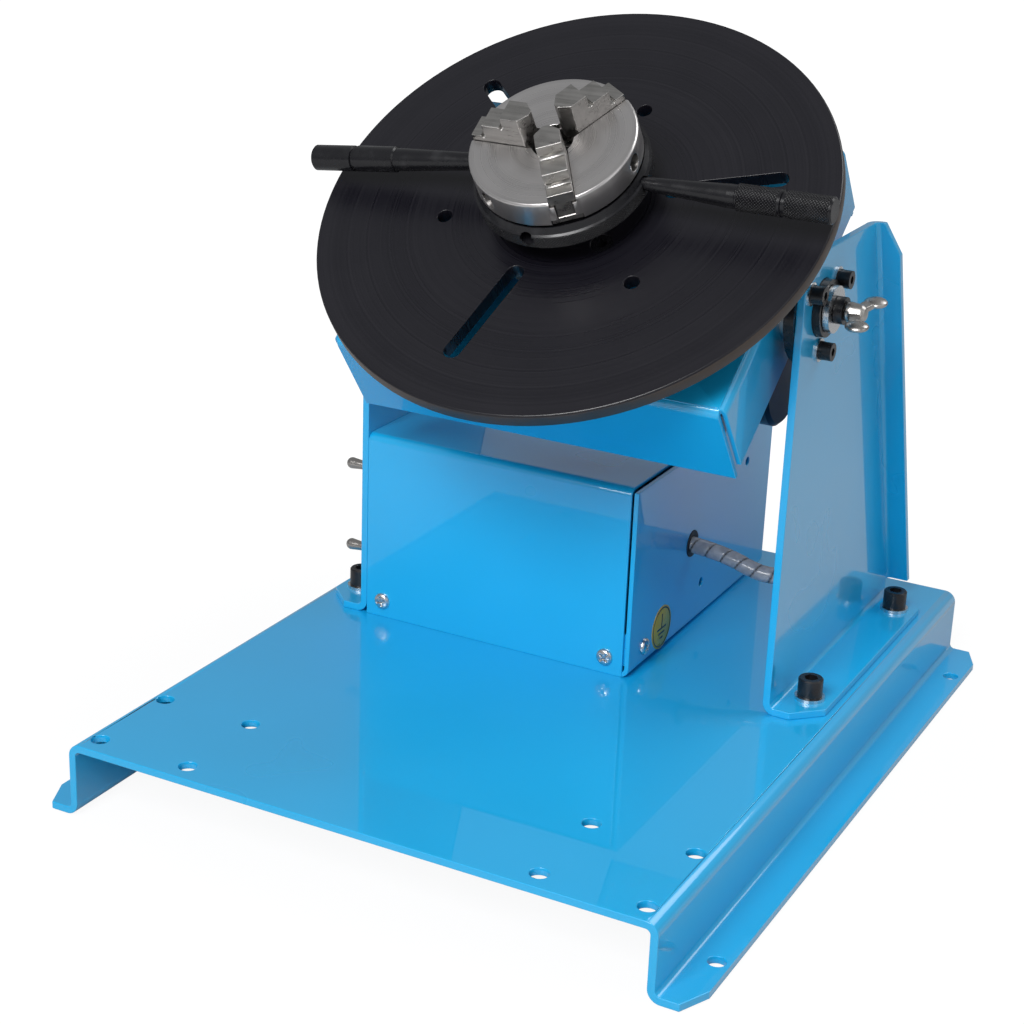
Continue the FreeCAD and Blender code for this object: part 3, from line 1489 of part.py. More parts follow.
def power_supply():
    """Caged supply on the floor of the box."""
    rear = box_depth - supply_rear_gap
    top = base_height + supply_height
    case = block(supply_x, (supply_front, rear), (base_height, top))
    for step in range(int((rear - supply_front - 13) / 9) + 1):
        y = supply_front + 10 + 9 * step
        slot = block((supply_x[0] + 6, supply_x[1] - 6), (y, y + 3), (top - 2, top + 1))
        case = case.cut(slot)
    return case


def speed_controller():
    """Finned speed controller on the floor of the box, behind the cable hole."""
    rear = box_depth - controller_rear_gap
    top = base_height + cable_rise + controller_over_cable
    case = block(controller_x, (controller_front, rear), (base_height, top))
    for step in range(int((rear - controller_front - 11) / 7) + 1):
        y = controller_front + 8 + 7 * step
        if y + 3 < cable_y - 6 or y > cable_y + 6:
            case = case.cut(block(controller_x, (y, y + 3), (top - 10, top + 1)))
    return case


def grommet():
    """Rubber grommet in the cable hole."""
    inner = box_right_x - side_plate_t
    z = base_height + cable_rise
    hole_r = cable_r + grommet_wall
    body = rod(hole_r, (inner - 1.2, cable_y, z), (1, 0, 0), side_plate_t + 1.5)
    lip = rod(hole_r + 1.5, (inner - 1.2, cable_y, z), (1, 0, 0), 1.2)
    return body.fuse(lip).cut(rod(cable_r + running_clearance, (inner - 2, cable_y, z), (1, 0, 0), 6))


def cable_route():
    """Centre line of the motor cable, from the controller to the motor's boss."""
    end = tilted(Part.Vertex(*motor_boss_point(motor_boss_reach))).Point
    z = base_height + cable_rise
    return [
        V(controller_x[1], cable_y, z),
        V(box_right_x + 11, cable_y, z),
        V(box_right_x + 37, cable_y - 2, z - 8),
        V(upright_inner_x - 8, cable_y + 7, z - 1.5),
        V(upright_inner_x - 7, cable_y + 19, z + 18.5),
        V(upright_inner_x - 11, cable_y + 28, z + 45.5),
        V(end.x + 2, cable_y + 29, z + 73.5),
        V(end.x, end.y + 18, end.z),
        end,
    ]


def motor_cable():
    """Cable as straight runs joined by tangent arcs, with its radii printed."""
    points = cable_route()
    radii = []
    for before, corner, after in zip(points, points[1:], points[2:]):
        shorter = min(corner.distanceToPoint(before), corner.distanceToPoint(after))
        half_turn = (math.pi - (before - corner).getAngle(after - corner)) / 2
        radii.append(0.45 * shorter / math.tan(half_turn))
    path = Part.Wire(rounded_path(points, radii))
    section = Part.Wire(Part.makeCircle(cable_r, points[0], points[1] - points[0]))
    solid = path.makePipeShell([section], True, False)
    expected = math.pi * cable_r ** 2 * path.Length
    print("cable radii", [round(radius, 1) for radius in radii], "length", round(path.Length, 1))
    print("cable volume over section times length", round(solid.Volume / expected, 4))
    return solid


def box_nodes():
    """Control box, what is in it and what stands on its panel."""
    save("box_cover", box_cover())
    save("box_side_plate", side_plate())
    save("cover_clips", cover_clip())
    save("cover_screws", cover_screws())
    earth = (box_right_x, earth_y, base_height + earth_rise)
    save("earth_screw", pan_screw(earth, (1, 0, 0), side_plate_t + 4))
    save("power_supply", power_supply())
    save("speed_controller", speed_controller())
    save("toggle_bodies", group([toggle_body(rise) for rise in toggle_rises]))
    save("toggle_nuts", group([toggle_nut(rise) for rise in toggle_rises]))
    save("power_lever", bat_lever(toggle_rises[0]))
    save("direction_lever", bat_lever(toggle_rises[1]))
    save("speed_potentiometer", speed_potentiometer())
    save("speed_knob", speed_knob())
    save("pedal_socket", round_socket(socket_y, socket_rise, 3))
    save("power_inlet", round_socket(inlet_y, inlet_rise, 2))
    save("cable_grommet", grommet())
    save("motor_cable", motor_cable())


frame_nodes()
pivot_nodes()
drive_nodes()
chuck_nodes()
box_nodes()
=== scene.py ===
"""Looks of a bench welding positioner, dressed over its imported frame."""

import logging
import math
from dataclasses import dataclass, field
from enum import Enum
from typing import Any, Callable, Iterable, Optional, Sequence

import bmesh
import bpy
from mathutils import Matrix, Quaternion, Vector

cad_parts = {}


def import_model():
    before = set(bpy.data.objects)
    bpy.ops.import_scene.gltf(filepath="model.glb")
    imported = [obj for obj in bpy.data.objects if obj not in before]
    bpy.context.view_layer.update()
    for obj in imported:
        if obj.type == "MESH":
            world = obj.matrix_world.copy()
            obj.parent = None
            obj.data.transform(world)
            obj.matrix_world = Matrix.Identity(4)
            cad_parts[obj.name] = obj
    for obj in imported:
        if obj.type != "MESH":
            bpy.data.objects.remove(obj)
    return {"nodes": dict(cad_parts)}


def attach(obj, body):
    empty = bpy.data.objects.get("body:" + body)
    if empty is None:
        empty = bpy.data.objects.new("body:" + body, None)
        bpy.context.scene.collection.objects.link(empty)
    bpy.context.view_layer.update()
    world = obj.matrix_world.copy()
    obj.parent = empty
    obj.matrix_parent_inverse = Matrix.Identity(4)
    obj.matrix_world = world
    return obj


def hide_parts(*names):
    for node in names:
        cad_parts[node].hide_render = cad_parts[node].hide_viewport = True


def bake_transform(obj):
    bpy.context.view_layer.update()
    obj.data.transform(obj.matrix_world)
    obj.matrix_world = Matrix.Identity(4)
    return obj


LOG = logging.getLogger("positioner")
MM = 0.001

TILT_REST = math.radians(36.8)
TILT_AXIS = Vector((0.0, 19.9, 190.7)) * MM

Colour = tuple[float, float, float]
Point = tuple[float, float, float]

# Grinding marks this fine in every direction read as an even grain.
EVEN = (500.0, 500.0, 500.0)
# Vertices closer than this, in metres, are one vertex at a seam or a pole.
SEAM = 1e-6

SHEETS = ("base_plate", "left_upright", "right_upright", "box_cover", "box_side_plate", "tilt_housing")
JAWS = ("jaw_1", "jaw_2", "jaw_3")

# Faces and screw centres of the control box, in millimetres.
BOX_RIGHT_X = 33.0
BOX_REAR_Y = 145.0
COVER_SCREW_X = (-83.1, 22.2)
COVER_SCREW_Z = 37.4
EARTH_SCREW = (BOX_RIGHT_X, 14.3, 39.1)


def tray_matrix() -> Matrix:
    """Return the matrix from the tray's own axes, in metres, to the row frame."""
    return Matrix.Translation(TILT_AXIS) @ Matrix.Rotation(TILT_REST, 4, "X")


# ------------------------------------------------------------------ shader maths
class Signal:
    """One node socket that can be used in plain arithmetic."""

    def __init__(self, board: "Board", socket: Any) -> None:
        """Keep the socket and the board that it lies on."""
        self.board = board
        self.socket = socket

    def _math(self, operation: str, *others: Any, clamp: bool = False) -> "Signal":
        """Join this signal and others in a Math node.

        Args:
            operation: The Math node's operation.
            others: Further operands, as numbers or signals.
            clamp: Whether the result is kept between 0 and 1.

        Returns:
            The node's result.
        """
        inputs = {0: self}
        inputs.update({index + 1: other for index, other in enumerate(others)})
        settings = {"operation": operation, "use_clamp": clamp}
        return self.board.node("ShaderNodeMath", settings, inputs)

    def __add__(self, other: Any) -> "Signal":
        """Return the sum."""
        return self._math("ADD", other)

    def __radd__(self, other: Any) -> "Signal":
        """Return the sum."""
        return self._math("ADD", other)

    def __sub__(self, other: Any) -> "Signal":
        """Return the difference."""
        return self._math("SUBTRACT", other)

    def __mul__(self, other: Any) -> "Signal":
        """Return the product."""
        return self._math("MULTIPLY", other)

    def __rmul__(self, other: Any) -> "Signal":
        """Return the product."""
        return self._math("MULTIPLY", other)

    def __truediv__(self, other: Any) -> "Signal":
        """Return the quotient."""
        return self._math("DIVIDE", other)

    def sine(self) -> "Signal":
        """Return the sine."""
        return self._math("SINE")

    def size(self) -> "Signal":
        """Return the absolute value."""
        return self._math("ABSOLUTE")

    def part(self) -> "Signal":
        """Return the fraction part."""
        return self._math("FRACT")

    def power(self, exponent: float) -> "Signal":
        """Return this signal to a power."""
        return self._math("POWER", exponent)

    def lower(self, other: Any) -> "Signal":
        """Return the lesser of two signals."""
        return self._math("MINIMUM", other)

    def upper(self, other: Any) -> "Signal":
        """Return the greater of two signals."""
        return self._math("MAXIMUM", other)

    def angle_to(self, other: "Signal") -> "Signal":
        """Return the angle of this over other, in radians."""
        return self._math("ARCTAN2", other)

    def over(self, limit: Any) -> "Signal":
        """Return 1 where this is greater than a limit."""
        return self._math("GREATER_THAN", limit)

    def spread(self, low: float, high: float, to_low: float = 0.0, to_high: float = 1.0) -> "Signal":
        """Map one range to another, smoothly and clamped.

        Args:
            low: Start of the range read.
            high: End of the range read.
            to_low: Result at low.
            to_high: Result at high.

        Returns:
            The mapped signal.
        """
        inputs = {"Value": self, "From Min": low, "From Max": high, "To Min": to_low, "To Max": to_high}
        return self.board.node("ShaderNodeMapRange", {"interpolation_type": "SMOOTHSTEP"}, inputs)


class Board:
    """Node tree of one material, with a single node-making method."""

    def __init__(self, name: str) -> None:
        """Start a material with an empty tree."""
        self.material = bpy.data.materials.new(name)
        self.material.use_nodes = True
        self.tree = self.material.node_tree
        self.tree.nodes.clear()

    def node(
        self,
        kind: str,
        settings: Optional[dict[str, Any]] = None,
        inputs: Optional[dict[Any, Any]] = None,
        output: Any = 0,
    ) -> Signal:
        """Make one node, set it and wire it.

        Args:
            kind: The node's type name.
            settings: Properties of the node itself.
            inputs: Values or signals by socket name or index.
            output: Name or index of the socket to hand back.

        Returns:
            The chosen output.
        """
        made = self.tree.nodes.new(kind)
        for name, value in (settings or {}).items():
            setattr(made, name, value)
        for name, value in (inputs or {}).items():
            socket = made.inputs[name]
            if isinstance(value, Signal):
                self.tree.links.new(value.socket, socket)
            else:
                socket.default_value = value
        return Signal(self, made.outputs[output])

    def place(self, matrix: Optional[Matrix] = None) -> Signal:
        """Return object coordinates, seen from a piece's own axes.

        Args:
            matrix: Where those axes are in the row frame, or None for the frame itself.

        Returns:
            The coordinate vector, in metres.
        """
        point = self.node("ShaderNodeTexCoord", output="Object")
        if matrix is None:
            return point
        inputs = {"Vector": point, "Location": matrix.translation, "Rotation": matrix.to_euler()}
        return self.node("ShaderNodeMapping", {"vector_type": "TEXTURE"}, inputs)

    def parts(self, vector: Signal) -> tuple[Signal, Signal, Signal]:
        """Return the three parts of a vector."""
        first = self.node("ShaderNodeSeparateXYZ", inputs={"Vector": vector})
        outputs = first.socket.node.outputs
        return first, Signal(self, outputs[1]), Signal(self, outputs[2])

    def noise(self, vector: Signal, scale: float, detail: float = 3.0, rough: float = 0.5) -> Signal:
        """Return three-dimensional noise between 0 and 1."""
        inputs = {"Vector": vector, "Scale": scale, "Detail": detail, "Roughness": rough}
        return self.node("ShaderNodeTexNoise", {"noise_dimensions": "3D"}, inputs, "Fac")

    def noise_line(self, along: Signal, scale: float, detail: float = 3.0) -> Signal:
        """Return noise that varies along one signal only."""
        inputs = {"W": along, "Scale": scale, "Detail": detail}
        return self.node("ShaderNodeTexNoise", {"noise_dimensions": "1D"}, inputs, "Fac")

    def blend(self, share: Signal, first: Any, second: Any) -> Signal:
        """Mix two colours by a share."""
        settings = {"data_type": "RGBA", "blend_type": "MIX"}
        ready = [self._colour(first), self._colour(second)]
        inputs = {0: share, 6: ready[0], 7: ready[1]}
        return self.node("ShaderNodeMix", settings, inputs, 2)

    def bump(self, height: Signal, strength: float, distance: float) -> Signal:
        """Return a normal bent by a height signal."""
        inputs = {"Height": height, "Strength": strength, "Distance": distance}
        return self.node("ShaderNodeBump", {}, inputs, "Normal")

    def surface(self, **sockets: Any) -> bpy.types.Material:
        """Finish the material with a Principled shader.

        Args:
            sockets: Values or signals by socket name, with _ for a space.

        Returns:
            The finished material.
        """
        inputs = {name.replace("_", " "): value for name, value in sockets.items()}
        for name, value in list(inputs.items()):
            if isinstance(value, tuple):
                inputs[name] = self._colour(value)
        shader = self.node("ShaderNodeBsdfPrincipled", {}, inputs)
        self.close(shader)
        return self.material

    def close(self, shader: Signal) -> None:
        """Wire a shader to the material's output."""
        end = self.tree.nodes.new("ShaderNodeOutputMaterial")
        self.tree.links.new(shader.socket, end.inputs["Surface"])

    @staticmethod
    def _colour(value: Any) -> Any:
        """Give a plain colour its fourth part."""
        if isinstance(value, tuple) and len(value) == 3:
            return (*value, 1.0)
        return value


# ------------------------------------------------------------------ finishes
@dataclass(frozen=True)
class GlossPaint:
    """Glossy sprayed paint on sheet metal, with a faint orange peel under its clear coat."""

    name: str = "gloss_blue_paint"
    colour: Colour = (0.008, 0.41, 0.78)
    shade: Colour = (0.006, 0.395, 0.75)
    roughness: float = 0.3

    def make(self) -> bpy.types.Material:
        """Return the material."""
        board = Board(self.name)
        point = board.place()
        cloud = board.noise(point, 14.0, 2.0)
        peel = board.noise(point, 210.0, 2.0)
        dust = board.noise(point, 1500.0, 1.0)
        colour = board.blend(cloud.spread(0.3, 0.7), self.shade, self.colour)
        gloss = cloud.spread(0.25, 0.75, self.roughness - 0.03, self.roughness + 0.04)
        return board.surface(
            Base_Color=colour,
            Roughness=gloss,
            Normal=board.bump(peel + dust * 0.1, 0.05, 0.0004),
            Coat_Weight=1.0,
            Coat_Roughness=0.015,
        )


@dataclass(frozen=True)
class BlackOxide:
    """Blackened steel with a soft oily sheen."""

    name: str = "black_oxide"
    colour: Colour = (0.009, 0.009, 0.011)
    worn: Colour = (0.018, 0.018, 0.021)
    roughness: float = 0.27

    def make(self) -> bpy.types.Material:
        """Return the material."""
        board = Board(self.name)
        point = board.place()
        cloud = board.noise(point, 120.0, 4.0)
        grit = board.noise(point, 1800.0, 2.0)
        return board.surface(
            Base_Color=board.blend(cloud.spread(0.45, 0.75), self.colour, self.worn),
            Metallic=0.1,
            Roughness=cloud.spread(0.3, 0.7, self.roughness - 0.06, self.roughness + 0.1),
            Normal=board.bump(grit, 0.08, 0.0002),
        )


@dataclass(frozen=True)
class TurnedMetal:
    """Metal faced on a lathe, with rings about its own axis."""

    name: str
    colour: Colour
    ring_colour: Colour
    height: float
    roughness: float = 0.3
    metallic: float = 1.0
    ring_pitch: float = 0.4
    ring_depth: float = 0.25

    def make(self) -> bpy.types.Material:
        """Return the material."""
        board = Board(self.name)
        place = tray_matrix() @ Matrix.Translation((0.0, 0.0, self.height * MM))
        point = board.place(place)
        x, y, _ = board.parts(point)
        radius = (x * x + y * y).power(0.5)
        pitch = self.ring_pitch * MM
        rings = board.noise_line(radius, 1.0 / pitch, 2.0)
        broad = board.noise_line(radius, 0.07 / pitch, 3.0)
        cloud = board.noise(point, 40.0, 4.0)
        tone = rings * 0.45 + broad * 0.35 + cloud * 0.2
        return board.surface(
            Base_Color=board.blend(tone.spread(0.3, 0.7), self.colour, self.ring_colour),
            Metallic=self.metallic,
            Roughness=tone.spread(0.3, 0.7, self.roughness - 0.05, self.roughness + 0.1),
            Normal=board.bump(rings, self.ring_depth, 0.0002),
        )


@dataclass(frozen=True)
class GroundMetal:
    """Bare or plated metal with fine grinding lines along one axis."""

    name: str
    colour: Colour
    dark: Colour
    roughness: float = 0.26
    metallic: float = 1.0
    stretch: tuple[float, float, float] = (40.0, 900.0, 900.0)
    grain: float = 0.12

    def make(self) -> bpy.types.Material:
        """Return the material."""
        board = Board(self.name)
        point = board.place()
        lined = board.node(
            "ShaderNodeMapping", {"vector_type": "POINT"}, {"Vector": point, "Scale": self.stretch}
        )
        lines = board.noise(lined, 1.0, 3.0)
        cloud = board.noise(point, 150.0, 3.0)
        tone = lines * 0.6 + cloud * 0.4
        return board.surface(
            Base_Color=board.blend(tone.spread(0.3, 0.7), self.dark, self.colour),
            Metallic=self.metallic,
            Roughness=tone.spread(0.3, 0.7, self.roughness - 0.06, self.roughness + 0.08),
            Normal=board.bump(lines, self.grain, 0.0001),
        )


@dataclass(frozen=True)
class KnurledSteel:
    """Blackened steel with a diamond knurl round one band and plain elsewhere."""

    name: str
    axis: Matrix = field(hash=False)
    radius: float
    band: tuple[float, float]
    second_band: Optional[tuple[float, float]] = None
    pitch: float = 1.25
    colour: Colour = (0.007, 0.007, 0.009)
    crest: Colour = (0.055, 0.055, 0.06)

    def make(self) -> bpy.types.Material:
        """Return the material."""
        board = Board(self.name)
        point = board.place(self.axis)
        x, y, z = board.parts(point)
        around = y.angle_to(x) * (self.radius * MM)
        count = round(math.pi * self.radius / self.pitch)
        turns = count / (self.radius * MM)
        first = ((around + z) * turns).sine().size()
        second = ((around - z) * turns).sine().size()
        diamonds = first.lower(second)
        mask = self._band_mask(z, self.band)
        if self.second_band is not None:
            mask = mask.upper(self._band_mask(z, self.second_band))
        outer = (x * x + y * y).power(0.5).over((self.radius - 0.35) * MM)
        mask = mask * outer
        knurl = diamonds * mask
        cloud = board.noise(point, 160.0, 3.0)
        tone = knurl.spread(0.45, 0.95) * 0.8 + cloud.spread(0.55, 0.8) * 0.25
        return board.surface(
            Base_Color=board.blend(tone, self.colour, self.crest),
            Metallic=0.1,
            Roughness=cloud.spread(0.3, 0.7, 0.2, 0.3),
            Normal=board.bump(knurl, 1.0, 0.0006),
        )

    @staticmethod
    def _band_mask(height: Signal, band: tuple[float, float]) -> Signal:
        """Return 1 inside a band along the axis."""
        low = height.spread(band[0] * MM, (band[0] + 0.3) * MM)
        high = height.spread((band[1] - 0.3) * MM, band[1] * MM, 1.0, 0.0)
        return low * high


@dataclass(frozen=True)
class MouldedPlastic:
    """Plastic or rubber with a fine moulded grain."""

    name: str
    colour: Colour
    shade: Colour
    roughness: float = 0.4
    grain: float = 0.1

    def make(self) -> bpy.types.Material:
        """Return the material."""
        board = Board(self.name)
        point = board.place()
        cloud = board.noise(point, 60.0, 3.0)
        fine = board.noise(point, 2200.0, 2.0)
        return board.surface(
            Base_Color=board.blend(cloud.spread(0.3, 0.7), self.shade, self.colour),
            Roughness=cloud.spread(0.3, 0.7, self.roughness - 0.05, self.roughness + 0.06),
            Normal=board.bump(fine, self.grain, 0.0002),
        )


class Finish(Enum):
    """Every finish of the machine."""

    PAINT = GlossPaint()
    OXIDE = BlackOxide()
    DISC = TurnedMetal(
        "blackened_disc",
        (0.0045, 0.0042, 0.0075),
        (0.0075, 0.007, 0.011),
        height=39.3,
        metallic=0.05,
        ring_pitch=0.9,
        ring_depth=0.03,
    )
    FACE = TurnedMetal(
        "chuck_face_steel",
        (0.6, 0.58, 0.575),
        (0.66, 0.64, 0.635),
        height=71.8,
        ring_pitch=0.3,
        ring_depth=0.05,
    )
    SPINDLE = TurnedMetal("turned_steel", (0.5, 0.5, 0.5), (0.66, 0.66, 0.65), 0.0, 0.3, 1.0, 0.5, 0.2)
    JAW = GroundMetal("ground_jaw_steel", (0.47, 0.455, 0.44), (0.38, 0.37, 0.355), 0.31, grain=0.04)
    RIM = MouldedPlastic("browned_rim", (0.05, 0.033, 0.024), (0.035, 0.025, 0.02), 0.38, 0.05)
    # Darker steel for the chuck's jaw slots and bore: painted shade where shade falls in them, on rougher
    # steel.
    SLOT_SHADE = GroundMetal("slot_steel_painted_shade", (0.2, 0.19, 0.185), (0.13, 0.125, 0.12), 0.4, grain=0.04)
    GEAR = GroundMetal("gear_steel", (0.6, 0.6, 0.6), (0.42, 0.42, 0.43), 0.32)
    ZINC = GroundMetal("zinc_plate", (0.72, 0.73, 0.74), (0.6, 0.61, 0.62), 0.27, stretch=EVEN, grain=0.04)
    STAINLESS = GroundMetal(
        "cast_stainless", (0.5, 0.485, 0.465), (0.4, 0.385, 0.37), 0.3, stretch=EVEN, grain=0.05
    )
    CHROME = GroundMetal(
        "bright_plating", (0.52, 0.5, 0.48), (0.45, 0.43, 0.41), 0.2, stretch=EVEN, grain=0.01
    )
    BRONZE = GroundMetal("bush_bronze", (0.66, 0.45, 0.22), (0.5, 0.32, 0.15), 0.34)
    ALUMINIUM = GroundMetal(
        "cast_aluminium", (0.6, 0.61, 0.62), (0.5, 0.51, 0.52), 0.42, stretch=EVEN, grain=0.2
    )
    CARBON = MouldedPlastic("carbon_block", (0.03, 0.03, 0.03), (0.018, 0.018, 0.018), 0.6)
    MOTOR = MouldedPlastic("motor_enamel", (0.012, 0.016, 0.03), (0.008, 0.012, 0.022), 0.3)
    PLASTIC = MouldedPlastic("black_moulding", (0.02, 0.02, 0.021), (0.012, 0.012, 0.013), 0.35)
    RUBBER = MouldedPlastic("black_rubber", (0.022, 0.022, 0.023), (0.014, 0.014, 0.015), 0.55)
    STICKER = MouldedPlastic("yellow_sticker", (0.62, 0.42, 0.03), (0.56, 0.38, 0.025), 0.3, 0.03)
    INK = MouldedPlastic("black_ink", (0.02, 0.02, 0.02), (0.015, 0.015, 0.015), 0.4, 0.02)
    SHADE = MouldedPlastic("screw_recess_shade", (0.035, 0.035, 0.035), (0.025, 0.025, 0.025), 0.5, 0.02)


class Paintbox:
    """Makes each finish once and hands out its material."""

    def __init__(self) -> None:
        """Start with nothing made."""
        self._made: dict[str, bpy.types.Material] = {}

    def get(self, finish: Any) -> bpy.types.Material:
        """Return the material of a finish, made on first use.

        Args:
            finish: A Finish member or a finish object.

        Returns:
            The material.
        """
        recipe = finish.value if isinstance(finish, Finish) else finish
        if recipe.name not in self._made:
            self._made[recipe.name] = recipe.make()
        return self._made[recipe.name]


PAINTBOX = Paintbox()


# ------------------------------------------------------------------ mesh helpers
def finish_mesh(
    name: str,
    mesh: bmesh.types.BMesh,
    materials: Sequence[bpy.types.Material],
    smooth_deg: float = 35.0,
) -> bpy.types.Object:
    """Turn a bmesh into an object at the origin.

    Args:
        name: Name of the piece.
        mesh: The bmesh, which is freed.
        materials: Its materials, in slot order.
        smooth_deg: Edges sharper than this stay sharp.

    Returns:
        The new object.
    """
    bmesh.ops.recalc_face_normals(mesh, faces=mesh.faces[:])
    limit = math.radians(smooth_deg)
    for face in mesh.faces:
        face.smooth = True
    for edge in mesh.edges:
        edge.smooth = len(edge.link_faces) == 2 and edge.calc_face_angle(0.0) < limit
    data = bpy.data.meshes.new(name)
    mesh.to_mesh(data)
    mesh.free()
    for material in materials:
        data.materials.append(material)
    piece = bpy.data.objects.new(name, data)
    bpy.context.collection.objects.link(piece)
    LOG.info("made %s: %d faces", name, len(data.polygons))
    return piece


def spun(
    mesh: bmesh.types.BMesh,
    profile: Iterable[tuple[float, float]],
    matrix: Matrix,
    steps: int,
    closed: bool = False,
) -> None:
    """Add a solid of revolution about an axis.

    Args:
        mesh: The bmesh to add to.
        profile: Points as (radius, height), in metres, from axis to axis.
        matrix: Where the axis (its Z) is in the row frame.
        steps: Segments of the full turn.
        closed: True for a section that doesn't touch the axis, as of a ring.
    """
    verts = [mesh.verts.new((radius, 0.0, height)) for radius, height in profile]
    ends = zip(verts, verts[1:] + verts[:1]) if closed else zip(verts, verts[1:])
    edges = [mesh.edges.new(pair) for pair in ends]
    made = bmesh.ops.spin(
        mesh,
        geom=verts + edges,
        cent=(0.0, 0.0, 0.0),
        axis=(0.0, 0.0, 1.0),
        angle=2 * math.pi,
        steps=steps,
        use_merge=True,
    )
    last = [item for item in made["geom_last"] if isinstance(item, bmesh.types.BMVert)]
    island = grown({vert for vert in verts + last if vert.is_valid})
    bmesh.ops.remove_doubles(mesh, verts=list(island), dist=SEAM)
    island = grown({vert for vert in island if vert.is_valid})
    bmesh.ops.transform(mesh, matrix=matrix, verts=list(island))


def grown(seed: set[bmesh.types.BMVert]) -> set[bmesh.types.BMVert]:
    """Return every vertex joined to some seed vertices."""
    found = set(seed)
    queue = list(seed)
    while queue:
        vert = queue.pop()
        for edge in vert.link_edges:
            other = edge.other_vert(vert)
            if other not in found:
                found.add(other)
                queue.append(other)
    return found


# ------------------------------------------------------------------ machine
class Machine:
    """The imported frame, with its nodes dressed and their edges broken."""

    WELD = 0.002
    FLAT_DEG = 0.4
    SHARP_DEG = 38.0

    def __init__(self) -> None:
        """Load the frame."""
        self.nodes: dict[str, bpy.types.Object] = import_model()["nodes"]

    def dress(self, names: Iterable[str], finish: Any) -> None:
        """Give some nodes one finish.

        Args:
            names: Node names.
            finish: A Finish member or a finish object.
        """
        material = PAINTBOX.get(finish)
        for name in names:
            data = self.nodes[name].data
            data.materials.clear()
            data.materials.append(material)
            LOG.info("dressed %s in %s", name, material.name)

    def soften(self, names: Iterable[str], width: float, segments: int = 2) -> None:
        """Break the sharp edges of some nodes with modifiers.

        Args:
            names: Node names.
            width: Width of the broken edge, in millimetres.
            segments: Segments across it.
        """
        for name in names:
            stack = self.nodes[name].modifiers
            weld = stack.new("weld", "WELD")
            weld.merge_threshold = self.WELD * MM
            flat = stack.new("flat", "DECIMATE")
            flat.decimate_type = "DISSOLVE"
            flat.angle_limit = math.radians(self.FLAT_DEG)
            edge = stack.new("edge", "BEVEL")
            edge.width = width * MM
            edge.segments = segments
            edge.limit_method = "ANGLE"
            edge.angle_limit = math.radians(self.SHARP_DEG)
            edge.use_clamp_overlap = False
            edge.harden_normals = True
            LOG.info("softened %s by %.2f mm", name, width)


